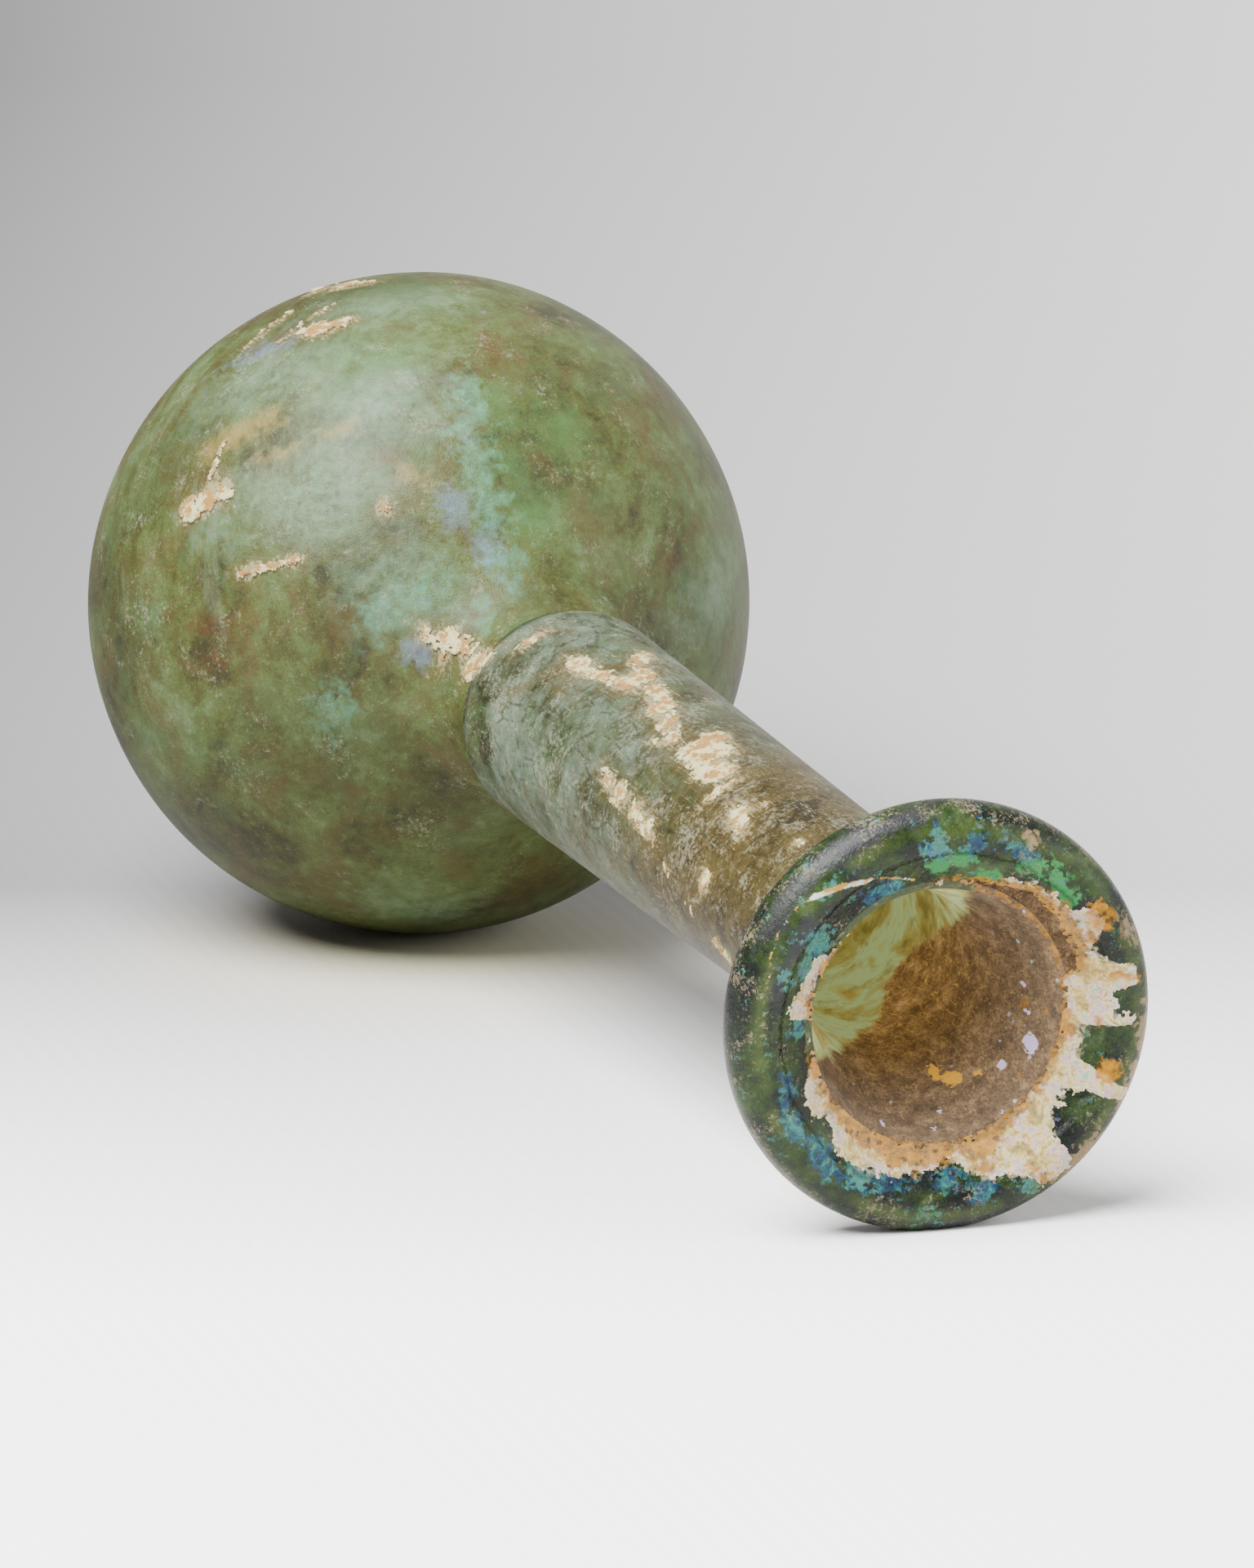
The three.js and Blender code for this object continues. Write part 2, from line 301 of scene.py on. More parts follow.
# and how far the ochre ring reaches out from the mouth's edge, as angle, millimetres
OCHRE_BOUND = [
    (0, 0.3), (20, 0.7), (45, 1.2), (60, 1.6), (75, 0.8), (92, 0.6), (100, 1.7), (108, 0.5),
    (130, 0.7), (150, 1.6), (162, 3.4), (170, 1.6), (188, 2.9), (200, 2.7), (215, 1.9),
    (230, 1.5), (245, 1.2), (262, 0.6), (276, 1.0), (298, 0.8), (308, 0.1), (350, 0.1), (360, 0.3)
]
SOIL_BOUND = [
    (0, 14.4), (15, 14.7), (28, 15.4), (40, 16.1), (60, 16.0), (74, 15.5), (77, 13.7),
    (180, 13.5), (270, 13.6), (340, 14.0), (360, 14.4)
]
FILM_GAPS = [
    (102, 18.3, 1.7, 1.1, 10), (128, 18.6, 2.6, 2.1, -15), (123, 17.4, 1.4, 1.2),
    (89, 19.2, 0.6, 1.2, 10)
]
RIM_CRACK = [
    (0.08, [(288, 20.6), (294, 21.3), (301, 21.5), (309, 21.4), (314, 20.9)]),
    (0.30, [(314, 20.9), (322, 19.7), (331, 18.1)]),
    (0.12, [(331, 18.1), (340, 16.5), (348, 15.2)])
]
RIM_RUST = [
    (57, 19.3, 1.6, 1.5), (62, 17.8, 1.0, 1.0), (78, 19.0, 0.5, 2.2, -20), (148, 19.8, 0.7, 1.6),
    (110, 18.8, 1.6, 1.2), (162, 16.8, 1.0, 0.8), (93, 17.0, 0.5, 0.4)
]
RIM_BLUE = [
    (216, 19.1, 3.6, 0.9, 10), (253, 18.2, 1.6, 1.1), (200, 17.9, 3.0, 1.2),
    (176, 17.0, 1.6, 1.2), (228, 18.6, 2.4, 1.3), (240, 19.2, 2.0, 1.2), (334, 15.7, 2.4, 1.5),
    (7, 19.4, 1.2, 1.7), (22, 19.8, 2.2, 1.1), (166, 18.6, 1.6, 1.0), (355, 18.8, 1.2, 1.8)
]
RIM_TEAL = [
    (303, 16.6, 1.6, 2.6), (288, 18.0, 0.9, 1.4), (294, 16.4, 1.8, 1.4), (354, 19.0, 1.4, 1.4),
    (212, 18.2, 1.8, 1.1), (185, 20.4, 1.6, 0.8), (270, 15.5, 1.2, 1.4), (320, 20.4, 1.2, 0.6),
    (150, 20.4, 1.6, 1.0)
]
RIM_GREEN = [
    (3, 17.4, 2.4, 1.2, 10), (40, 18.4, 2.6, 1.1, -10), (46, 17.9, 1.3, 1.3),
    (30, 18.3, 1.8, 1.2), (20, 15.6, 2.2, 1.1), (357, 16.8, 1.5, 1.4)
]
RIM_PURPLE = [
    (302, 19.2, 3.4, 1.3), (286, 19.6, 2.0, 1.4), (330, 22.3, 5.0, 1.6), (310, 22.4, 5.0, 1.4),
    (290, 22.5, 4.0, 1.3), (350, 22.4, 3.0, 1.2), (172, 22.0, 3.0, 1.2)
]
RIM_BEIGE = [
    (95, 22.0, 3.4, 1.0), (112, 22.0, 4.0, 1.2), (136, 22.0, 4.0, 1.3), (24, 20.8, 1.2, 1.0),
    (66, 21.8, 2.0, 1.0)
]
RIM_NICKS = [
    (120, 22.6, 0.9, 0.9), (133, 22.7, 0.7, 0.8), (101, 22.8, 0.6, 0.6), (146, 22.7, 0.6, 0.7)
]

# Body: cream crusts, teal and green sheen, lavender haze and rust, as angle, station
BODY_CRUSTS = [
    (-63, 11.9, 1.6, 1.5), (-60, 13.2, 2.2, 1.3, 35), (-57, 14.6, 1.0, 1.6, 20),
    (-12.5, -5.0, 2.6, 1.1, 25), (-16, -8.5, 1.8, 0.9), (-24, 4.8, 2.2, 1.5, 30),
    (-20, 5.8, 1.5, 0.9), (-38, 28.8, 0.9, 0.7), (-57, 38.4, 1.5, 1.6),
    (-55, 41.5, 1.0, 2.0), (-60, 36.6, 0.8, 1.6, 20), (-63, 38.6, 1.4, 0.5),
    # and on the side that the photo hides
    (60, -14.0, 2.0, 1.2, 20), (100, -22.0, 1.6, 1.1), (140, -12.0, 1.4, 2.0, 10),
    (185, -24.0, 1.8, 1.0, -20), (235, -28.0, 1.3, 1.0), (258, -26.0, 1.6, 1.3, 10),
    (20, -26.0, 1.6, 1.2), (112, -16.0, 0.8, 1.6, 30),
]
BODY_THREADS = [
    (0.30, [(-69, 21.2), (-65, 23.6), (-60, 25.9)]), (0.14, [(-60, 12.8), (-50, 10.4)]),
    (0.16, [(-34, -1.5), (-24, -3.5)]), (0.10, [(-30, 2.6), (-18, 0.5)])
]
BODY_TEAL = [
    (-10.6, 27.5, 1.6, 4.2), (-12, 32.2, 1.8, 3.2), (-15, 36.0, 1.6, 2.4), (-8, 23.5, 1.6, 3.0),
    (-39, 39.3, 1.6, 1.3), (-96, 31.6, 1.8, 1.3, 20), (-50, 34.5, 2.6, 1.8),
    (-60, 33.5, 1.8, 1.2), (95, -15, 2.6, 3.4), (120, -22, 2.0, 2.6), (210, -20, 2.4, 3.0),
    (340, -26, 2.6, 2.2)
]
BODY_GREEN = [
    (0, 33.8, 3.4, 2.6), (-5, 29.0, 2.4, 4.6), (12, 27.0, 4.0, 4.0), (-18, 14.0, 5.0, 3.0, 20),
    (-2, 24.0, 3.0, 4.0)
]
BODY_LILAC = [
    (-21.8, 31.7, 1.8, 1.6), (-68, 36.6, 1.5, 1.4), (-19, 34.6, 1.4, 1.6),
    (-33, 2.0, 3.4, 1.2, 30), (108, -10, 2.0, 1.2, 30), (345, -24, 2.0, 1.2)
]
BODY_PALE = [
    (-44, 24.0, 9.0, 7.0, 20), (-25, 20.0, 9.0, 6.5, 20), (-51, 33.0, 6.0, 5.0),
    (-35, 8.0, 11.0, 5.0, 30), (-56, 18.0, 6.0, 4.0, 20), (-15, 4.0, 8.0, 4.0, 20),
    (110, -18, 9.0, 7.0, 20), (200, -26, 8.0, 6.0), (330, -28, 9.0, 6.0), (-50.9, 35.0, 5.0, 4.0),
    (74.4, 29.6, 4.0, 7.0), (-164.5, 23.9, 6.0, 4.0)
]
BODY_OCHRE = [
    (1.5, [(-53, 9.2), (-47, 11.0), (-41, 13.1)]), (0.9, [(-49, 15.8), (-43, 18.2)]),
    (0.8, [(-36, 19.7), (-31, 21.0)]), (1.0, [(-29, 27.2), (-26, 28.4)])
]
BODY_RUST = [
    (2.1, 15.5, 1.6, 2.4), (-81, 19.4, 1.4, 3.4), (-76, 23.4, 1.5, 1.6), (55, 32.1, 1.2, 2.4),
    (57, 27.6, 1.2, 2.8), (-87, 20.8, 1.0, 2.0), (7, 19.6, 1.0, 1.8), (-30, 25.4, 1.0, 0.8),
    (36, 22.0, 1.0, 3.4)
]
BODY_DARK = [
    (7, 37.2, 2.6, 1.6), (40, 37.4, 5.0, 2.4), (75, 38.0, 5.0, 2.6), (-140, 36.0, 9.0, 5.0),
    (-133, 14.0, 7.0, 4.5), (-101, 27.0, 5.0, 4.5), (-86, 0, 5.0, 12.0), (-25, 39.4, 2.6, 0.8),
    (-12, -3.0, 14.0, 7.0), (-58, 4.0, 8.0, 7.0), (-102.2, 31.3, 9.0, 7.0)
]
# How deep the soil reaches into the neck, as angle, station
CLEAR_BOUND = [
    (0, 152), (12, 152), (20, 148), (34, 142.9), (41, 141.4), (62, 136), (86, 129.5),
    (111, 123.6), (139, 122.3), (158, 128.1), (183, 131.7), (221, 139.6), (246, 146.4),
    (254, 152), (360, 152)
]
MOUTH_OCHRE = [(152, 143.2, 1.1, 1.2, 20), (140, 144.8, 0.55, 0.4), (158, 141.6, 0.5, 1.2)]
MOUTH_LILAC = [
    (112, 147.9, 0.9, 1.2, -20), (129, 146.2, 0.6, 0.6), (99, 146.3, 0.3, 0.4),
    (168, 146.6, 0.3, 0.35), (176, 148.8, 0.28, 0.3), (86, 145.5, 0.35, 0.4),
    (97, 148.9, 0.3, 0.3), (120, 144.2, 0.25, 0.3), (201, 148.6, 0.3, 0.5)
]
MOUTH_RUST = [(95, 145.9, 0.8, 0.7), (94.7, 148.6, 0.5, 0.5), (128, 148.5, 0.4, 0.3)]


def ranges(angle, bound):
    """A bound read at an angle, going round once more past its last point."""
    a, b = np.array(bound, float).T
    return np.interp(np.mod(angle, 360), a, b)


def crusts(own):
    """The crusts and threads of body and neck."""
    return np.maximum.reduce([spots(own, NECK_CRUSTS), spots(own, BODY_CRUSTS),
                              lines(own, BODY_THREADS)])


def ochre_reach(own, angle, radius):
    """The ochre ring from the soil outwards, without and with its spots on the film."""
    ring = ranges(angle, SOIL_BOUND) + ranges(angle, OCHRE_BOUND) - radius
    return ring, spots(own, RIM_RUST, on_front)


def weathering(own, angle, radius, station, region):
    """Every field of the weathering at the points, each in millimetres inside its bound. Front,
    outer and deep take a field away where its side of the flask ends."""
    at_rim = station > RIM_STATION - RIM_DEPTH
    front = np.where((region >= 2) & at_rim, 0, OUT)
    outer = np.where(region < 2, 0, OUT)
    deep = np.where((region == 3) & (station > LINED), 0, OUT)
    film = np.minimum(ranges(angle, FILM_BOUND) - radius, 1.5)
    film = np.minimum(film, -spots(own, FILM_GAPS, on_front))
    ring, stains = ochre_reach(own, angle, radius)
    ochre = np.maximum(np.minimum(ring, film + 0.3), stains) + front
    ochre = np.minimum(ochre, np.where(region == 3, station - RIM_STATION - 0.05, -OUT))
    half_turn = np.where(angle > 180, angle - 360, angle)
    arc = np.radians(half_turn) * BODY_RADIUS
    fields = {
        "film": film + front,
        "ochre": np.maximum(ochre, spots(own, MOUTH_RUST, on_lining) + deep),
        "soil": ranges(angle, SOIL_BOUND) - radius + front,
        "crack": lines(own, RIM_CRACK, on_front) + front,
        "crust": crusts(own) + outer,
        "clear": ranges(angle, CLEAR_BOUND) - station + np.where(region == 3, 0, 4 * OUT),
        "station": station,
        "along": SLANT[0] * arc - SLANT[1] * station,
        "across": SLANT[1] * arc + SLANT[0] * station,
        "streaky": (smooth(half_turn, -110, -70) * smooth(32 - station, 0, 16)
                    * (0.25 + 0.75 * smooth(30 - half_turn, 0, 50))
                    * smooth(160 - half_turn, 0, 40)),
        "lip": radius * (region >= 2) * at_rim,
    }
    for name, rim, body in (("blue", RIM_BLUE, BODY_LILAC), ("teal", RIM_TEAL, BODY_TEAL),
                            ("green", RIM_GREEN, BODY_GREEN)):
        fields[name] = np.maximum(spots(own, rim, on_front) + front, spots(own, body) + outer)
    for name, places, put, side in (
            ("purple", RIM_PURPLE, on_front, front), ("beige", RIM_BEIGE, on_front, front),
            ("pale", BODY_PALE, on_outside, outer), ("dark", BODY_DARK, on_outside, outer),
            ("rust", BODY_RUST, on_outside, outer), ("flake", MOUTH_OCHRE, on_lining, deep),
            ("pearl", MOUTH_LILAC, on_lining, deep)):
        fields[name] = spots(own, places, put) + side
    for name, runs in (("yellowed", BODY_OCHRE), ("slit", NECK_CRACKS),
                       ("scratch", NECK_SCRATCHES)):
        fields[name] = lines(own, runs) + outer
    return fields


def new_mesh(name, points, faces, smoothed=True):
    """A mesh and its object from arrays: corners in metres and faces as rows of indices."""
    mesh = bpy.data.meshes.new(name)
    mesh.from_pydata(points.tolist(), [], faces)
    mesh.polygons.foreach_set("use_smooth", np.full(len(mesh.polygons), smoothed))
    made = bpy.data.objects.new(name, mesh)
    bpy.context.scene.collection.objects.link(made)
    return made


def mesh_piece(name, points, faces, fields, smoothed=True):
    """One piece of the flask, with named values for each corner."""
    piece = new_mesh(name, points, faces, smoothed)
    for key, values in fields.items():
        attribute = piece.data.attributes.new(key, "FLOAT", "POINT")
        attribute.data.foreach_set("value", values.astype(np.float32))
    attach(piece, "root")
    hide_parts("flask")
    return piece


def face_outwards(points, faces):
    """True if the volume within the faces is positive: the sum over both halves of every face
    of its first corner times the cross product of the other two."""
    a, b, c, d = (points[faces[:, n]] for n in range(4))
    return np.sum(a * (np.cross(b, c) + np.cross(c, d))) > 0


def blown_flask():
    """The closed wall: every point of the profile carried round the centre line, a pole at each
    end, with the slow unevenness added to the outside's radius."""
    rows = PROFILE[1:-1]
    region = REGION[1:-1]
    angle = np.arange(COLUMNS) * 360 / COLUMNS
    radius = np.repeat(rows[:, :1], COLUMNS, 1)
    station = np.repeat(rows[:, 1:], COLUMNS, 1)
    turn = np.repeat(angle[None], len(rows), 0)
    own = ringed(radius, station, turn)
    nick = NICK_DEPTH * np.clip(spots(own, RIM_NICKS, on_front), 0, 1)
    uneven = (waver(turn, station) * smooth(radius, 11, 14) - WAVER) * (region < 1)[:, None]
    own = ringed(radius + uneven - nick, station, turn)
    flat = own.reshape(-1, 3)
    poles = ringed(np.zeros(2), PROFILE[[0, -1], 1], np.zeros(2))
    points = lying(np.concatenate([flat, poles]))
    i, j = np.meshgrid(np.arange(len(rows) - 1), np.arange(COLUMNS), indexing="ij")
    k = (j + 1) % COLUMNS
    quads = np.stack([i * COLUMNS + j, (i + 1) * COLUMNS + j,
                      (i + 1) * COLUMNS + k, i * COLUMNS + k], -1).reshape(-1, 4)
    last = (len(rows) - 1) * COLUMNS
    around = np.arange(COLUMNS)
    after = (around + 1) % COLUMNS
    start_fan = np.stack([np.full(COLUMNS, len(flat)), around, after], 1)
    end_fan = np.stack([np.full(COLUMNS, len(flat) + 1), last + after, last + around], 1)
    if not face_outwards(points, quads):
        quads, start_fan, end_fan = quads[:, ::-1], start_fan[:, ::-1], end_fan[:, ::-1]
    faces = quads.tolist() + start_fan.tolist() + end_fan.tolist()
    row_region = np.minimum(region[:-1], region[1:])
    materials = np.concatenate([np.repeat(row_region, COLUMNS),
                                np.full(COLUMNS, 0), np.full(COLUMNS, 3)]).astype(np.int32)
    full = [np.concatenate([v.ravel(), PROFILE[[0, -1], n]]) for n, v in
            ((0, radius), (1, station))]
    turns = np.concatenate([turn.ravel(), [0, 0]])
    regions = np.concatenate([np.repeat(region, COLUMNS), [0, 3]])
    own_all = np.concatenate([flat, poles])
    flask = mesh_piece("blown_flask", points, faces,
                       weathering(own_all, turns, full[0], full[1], regions))
    flask.data.polygons.foreach_set("material_index", materials)
    return flask


def lattice(points, scale, seed, blocky=False):
    """Even random values on a cube lattice from whole-number mixing, between 0 and 1: the
    value of the cell, or the eight corners blended with 3t^2 - 2t^3."""
    place = points * scale
    corner = np.floor(place).astype(np.int64)
    part = place - corner
    part = part * part * (3 - 2 * part)
    total = np.zeros(points.shape[:-1])
    for dx in (0, 1):
        for dy in (0, 1):
            for dz in (0, 1):
                x, y, z = (corner[..., n] + d for n, d in enumerate((dx, dy, dz)))
                mixed = (x * 73856093) ^ (y * 19349663) ^ (z * 83492791) ^ (seed * 97531)
                mixed = ((mixed ^ (mixed >> 13)) * 1274126177) & 0xffffffff
                value = ((mixed ^ (mixed >> 16)) & 0xffffff) / 0xffffff
                if blocky:
                    return value
                weight = 1.0
                for n, d in enumerate((dx, dy, dz)):
                    weight = weight * (part[..., n] if d else 1 - part[..., n])
                total += weight * value
    return total


FLAKE_SINK = 0.26  # how deep a flake's underside lies in the glass, in millimetres


def flakes(name, put, firsts, seconds, bound, thick, material, facing, wraps=False):
    """Loose thin flakes over the glass: a fine grid of angle by station or radius keeps the cells
    where the bound plus blocky and smooth lattice noise is over nought, and cells that meet only
    at a corner get a third. The top is lifted along the surface's normal, thinning towards the
    torn edge, the underside is sunk a little, and a strip closes every edge."""
    angle, along = np.meshgrid(firsts, seconds, indexing="ij")
    own = put(angle, along)
    rough = (0.75 * (lattice(own, 2.6, 3, True) - 0.5) + 1.1 * (lattice(own, 0.9, 5) - 0.5)
             + 1.0 * (lattice(own, 2.2, 8) - 0.5))
    inside = bound(own, angle, along) + rough
    step = 0.05
    side = put(angle + step, along) - put(angle - step, along)
    ahead = put(angle, along + step) - put(angle, along - step)
    out = np.cross(side, ahead)
    out /= np.linalg.norm(out, axis=-1, keepdims=True)
    out *= np.sign(np.einsum("ijk,ijk->ij", out, facing(own)))[..., None]
    lumps = 0.55 + 0.9 * lattice(own, 1.3, 11) * lattice(own, 3.1, 12)
    pit = np.where(lattice(own, 1.6, 21) > 0.72, 0.35, 1.0)
    lift = thick * lumps * pit * (0.45 + 0.55 * smooth(inside, 0, 0.7))
    cell = (inside[:-1, :-1] + inside[1:, :-1] + inside[:-1, 1:] + inside[1:, 1:]) > 0
    if wraps:
        seam = inside[-1:, :-1] + inside[:1, :-1] + inside[-1:, 1:] + inside[:1, 1:]
        cell = np.concatenate([cell, seam > 0])
    for _ in range(3):
        below = np.roll(cell, -1, 0)
        one = cell[:, :-1] & below[:, 1:] & ~below[:, :-1] & ~cell[:, 1:]
        other = below[:, :-1] & cell[:, 1:] & ~cell[:, :-1] & ~below[:, 1:]
        cell[:, 1:] |= one
        cell[:, :-1] |= other
    rows, columns = angle.shape
    i, j = np.nonzero(cell)
    k = (i + 1) % rows
    here, there = i * columns + j, k * columns + j
    under = rows * columns
    top = np.stack([here, there, there + 1, here + 1], 1)
    faces = [top, top[:, ::-1] + under]
    padded = np.pad(cell, ((0, 0), (1, 1)))
    if wraps:
        padded = np.concatenate([padded[-1:], padded, padded[:1]])
    else:
        padded = np.pad(padded, ((1, 1), (0, 0)))
    for di, dj, a, b in ((-1, 0, 3, 0), (1, 0, 1, 2), (0, -1, 0, 1), (0, 1, 2, 3)):
        bare = ~padded[i + 1 + di, j + 1 + dj]
        first, second = top[bare, a], top[bare, b]
        faces.append(np.stack([second, first, first + under, second + under], 1))
    faces = np.concatenate(faces)
    upper, lower = own + out * lift[..., None], own - out * FLAKE_SINK
    points = np.concatenate([upper.reshape(-1, 3), lower.reshape(-1, 3)])
    used, compact = np.unique(faces, return_inverse=True)
    faces = compact.reshape(faces.shape)
    points = lying(points[used])
    if not face_outwards(points, faces):
        faces = faces[:, ::-1]
    values = {"depth": np.tile(inside.ravel(), 2)[used]}
    if wraps:
        values["ochre"] = np.tile(np.maximum(*ochre_reach(own, angle, along)).ravel(), 2)[used]
    piece = mesh_piece(name, points, faces.tolist(), values, smoothed=False)
    piece.data.materials.append(material)
    return piece


def film_bound(own, angle, radius):
    """The pale film on the front of the rim, between the soil and its outer bound."""
    inside = np.minimum(ranges(angle, FILM_BOUND) - radius, radius - ranges(angle, SOIL_BOUND))
    return np.minimum(inside, -spots(own, FILM_GAPS, on_front)) - 0.1


def crust_bound(own, angle, station):
    """A little less than the crusts' places."""
    return crusts(own) - 0.1


def mouthwards(own):
    """The way along the centre line to the mouth."""
    return np.zeros_like(own) + np.array([0, 1.0, 0])


def outwards(own):
    """The way from the centre line: the point without its station."""
    return own * np.array([1, 0, 1.0])


# ---------------------------------------------------------------- node helpers

def tone(text):
    """A colour written as on paper, made linear: c/12.92 below 0.04045, else a 2.4 power."""
    c = np.array([int(text[i:i + 2], 16) for i in (0, 2, 4)]) / 255
    linear = np.where(c <= 0.04045, c / 12.92, ((c + 0.055) / 1.055) ** 2.4)
    return (*[float(v) for v in linear], 1.0)


def put_in(t, socket, value):
    """Link a socket, or set a number, a vector or a written colour."""
    if isinstance(value, bpy.types.NodeSocket):
        t.links.new(value, socket)
    elif value is not None:
        socket.default_value = tone(value) if isinstance(value, str) else value


def node(t, kind, inputs=(), **settings):
    """A shader node of a kind, its settings made and its inputs filled or linked."""
    made = t.nodes.new("ShaderNode" + kind)
    for key, value in settings.items():
        setattr(made, key, value)
    for key, value in dict(inputs).items():
        put_in(t, made.inputs[key], value)
    return made


def maths(t, operation, a, b=None, c=None):
    """One step of arithmetic on numbers or sockets."""
    made = node(t, "Math", operation=operation)
    for socket, value in zip(made.inputs, (a, b, c)):
        put_in(t, socket, value)
    return made.outputs[0]


def times(t, a, b, more=None):
    """a times b, plus more."""
    return maths(t, "MULTIPLY" if more is None else "MULTIPLY_ADD", a, b, more)


def away(t, value, middle):
    """How far a value is from a middle."""
    return maths(t, "ABSOLUTE", maths(t, "SUBTRACT", value, middle))


def centred(t, value):
    """A value of 0 to 1 less a half."""
    return maths(t, "SUBTRACT", value, 0.5)


def blend(t, factor, a, b, how="MIX"):
    """From colour a to colour b by the factor."""
    made = node(t, "Mix", data_type="RGBA", blend_type=how, clamp_factor=True)
    for index, value in ((0, factor), (6, a), (7, b)):
        put_in(t, made.inputs[index], value)
    return made.outputs[2]


def between(t, factor, a, b):
    """From number a to number b by the factor."""
    made = node(t, "Mix", data_type="FLOAT", clamp_factor=True)
    for index, value in ((0, factor), (2, a), (3, b)):
        put_in(t, made.inputs[index], value)
    return made.outputs[0]


def ramp(t, factor, stops):
    """A ladder of colours at places from 0 to 1."""
    made = node(t, "ValToRGB", {"Fac": factor})
    elements = made.color_ramp.elements
    for index, (place, colour) in enumerate(stops):
        if index < 2:
            elements[index].position = place
        else:
            elements.new(place)
        elements[index].color = tone(colour)
    return made.outputs[0]


def stepped(t, value, low, high):
    """0 below low, 1 above high, straight between."""
    made = node(t, "MapRange", {"Value": value, "From Min": low, "From Max": high})
    return made.outputs[0]


def clouds(t, vector, scale, detail=4.0, rough=0.55, distortion=0.0):
    """Smooth random values about a half."""
    made = node(t, "TexNoise", {"Vector": vector, "Scale": scale, "Detail": detail,
                                "Roughness": rough, "Distortion": distortion})
    return made.outputs["Fac"]


def cells(t, vector, scale, output="Distance", feature="F1"):
    """Random cells: the distance to the nearest cell's middle, or to its edge, or a colour."""
    made = node(t, "TexVoronoi", {"Vector": vector, "Scale": scale}, feature=feature)
    return made.outputs[output]


def turned(t, vector, scale=(1, 1, 1), turn=(0, 0, 0), move=(0, 0, 0)):
    """A place stretched, turned and moved."""
    made = node(t, "Mapping", {"Vector": vector})
    made.inputs["Scale"].default_value = scale
    made.inputs["Rotation"].default_value = turn
    made.inputs["Location"].default_value = move
    return made.outputs[0]


def field(t, name):
    """A named value of the piece's corners."""
    return node(t, "Attribute", attribute_name=name).outputs["Fac"]


def millimetres(t):
    """The point of the piece in millimetres."""
    place = node(t, "TexCoord").outputs["Object"]
    return turned(t, place, scale=(1000, 1000, 1000))


def new_group(name, inputs, outputs):
    """An empty node group with its sockets made."""
    group = bpy.data.node_groups.new(name, "ShaderNodeTree")
    for key, kind, value in inputs:
        socket = group.interface.new_socket(key, in_out="INPUT", socket_type=kind)
        if value is not None:
            socket.default_value = value
    for key, kind in outputs:
        group.interface.new_socket(key, in_out="OUTPUT", socket_type=kind)
    return group, group.nodes.new("NodeGroupInput").outputs, group.nodes.new("NodeGroupOutput")


def use(t, group, inputs):
    """A group set down in the tree, with its inputs filled."""
    made = node(t, "Group", node_tree=group)
    for key, value in inputs.items():
        put_in(t, made.inputs[key], value)
    return made.outputs


FLOAT, COLOUR, VECTOR = "NodeSocketFloat", "NodeSocketColor", "NodeSocketVector"
LADDER = ("First", "Second", "Third", "Fourth")


def torn_edge():
    """Mask of a field in millimetres with a torn, blocky edge: the field plus the random value
    of small cells and plus fine clouds is cut sharply at nought. Rim is the strip inside it."""
    t, i, o = new_group("torn_edge", [("Field", FLOAT, 0), ("Fine", FLOAT, 0.5),
                                      ("Block", FLOAT, 0.5), ("Tear", FLOAT, 0.5),
                                      ("Sway", FLOAT, 1.0)],
                        [("Mask", FLOAT), ("Rim", FLOAT), ("Depth", FLOAT)])
    total = times(t, centred(t, i["Block"]), i["Tear"], i["Field"])
    total = times(t, centred(t, i["Fine"]), i["Sway"], total)
    mask = stepped(t, total, -0.02, 0.03)
    put_in(t, o.inputs["Mask"], mask)
    put_in(t, o.inputs["Rim"], times(t, stepped(t, total, 0.35, 0.0), mask))
    put_in(t, o.inputs["Depth"], total)
    return t


def weathered_ground():
    """Mottled weathering skin: slow clouds choose between four tones, quick clouds shift the
    choice a little and tiny grains push it lighter and darker."""
    t, i, o = new_group("weathered_ground",
                        [("Place", VECTOR, None), ("Slow", FLOAT, 0.09), ("Quick", FLOAT, 0.9),
                         ("Stir", FLOAT, 0.6), ("Contrast", FLOAT, 0.5),
                         *[(name, COLOUR, None) for name in LADDER]],
                        [("Colour", COLOUR), ("Height", FLOAT), ("Grain", FLOAT)])
    slow = clouds(t, i["Place"], i["Slow"], 5, 0.6, 0.5)
    quick = clouds(t, i["Place"], i["Quick"], 4, 0.7)
    grain = clouds(t, i["Place"], 4.0, 3, 0.75)
    pick = times(t, centred(t, quick), i["Stir"], slow)
    colour = blend(t, stepped(t, pick, 0.32, 0.44), i["First"], i["Second"])
    colour = blend(t, stepped(t, pick, 0.45, 0.55), colour, i["Third"])
    colour = blend(t, stepped(t, pick, 0.57, 0.70), colour, i["Fourth"])
    light = times(t, centred(t, grain), i["Contrast"], 1.0)
    scaled = node(t, "VectorMath", {0: colour}, operation="SCALE")
    put_in(t, scaled.inputs["Scale"], light)
    put_in(t, o.inputs["Colour"], scaled.outputs[0])
    put_in(t, o.inputs["Height"], times(t, quick, 0.12, times(t, grain, 0.05)))
    put_in(t, o.inputs["Grain"], grain)
    return t


def sheen_film():
    """Iridescent skin: one slow cloud, bent by a second, runs through a ladder of hues."""
    t, i, o = new_group("sheen_film", [("Place", VECTOR, None), ("Scale", FLOAT, 0.35),
                                       ("Shift", FLOAT, 0.0)], [("Colour", COLOUR)])
    hue = maths(t, "ADD", clouds(t, i["Place"], i["Scale"], 6, 0.72, 0.6), i["Shift"])
    colour = ramp(t, hue, [(0.28, "0a1a30"), (0.38, "12304c"), (0.46, "1b5052"),
                           (0.52, "37706a"), (0.58, "24522e"), (0.66, "424e78"),
                           (0.76, "28384e")])
    put_in(t, o.inputs["Colour"], colour)
    return t


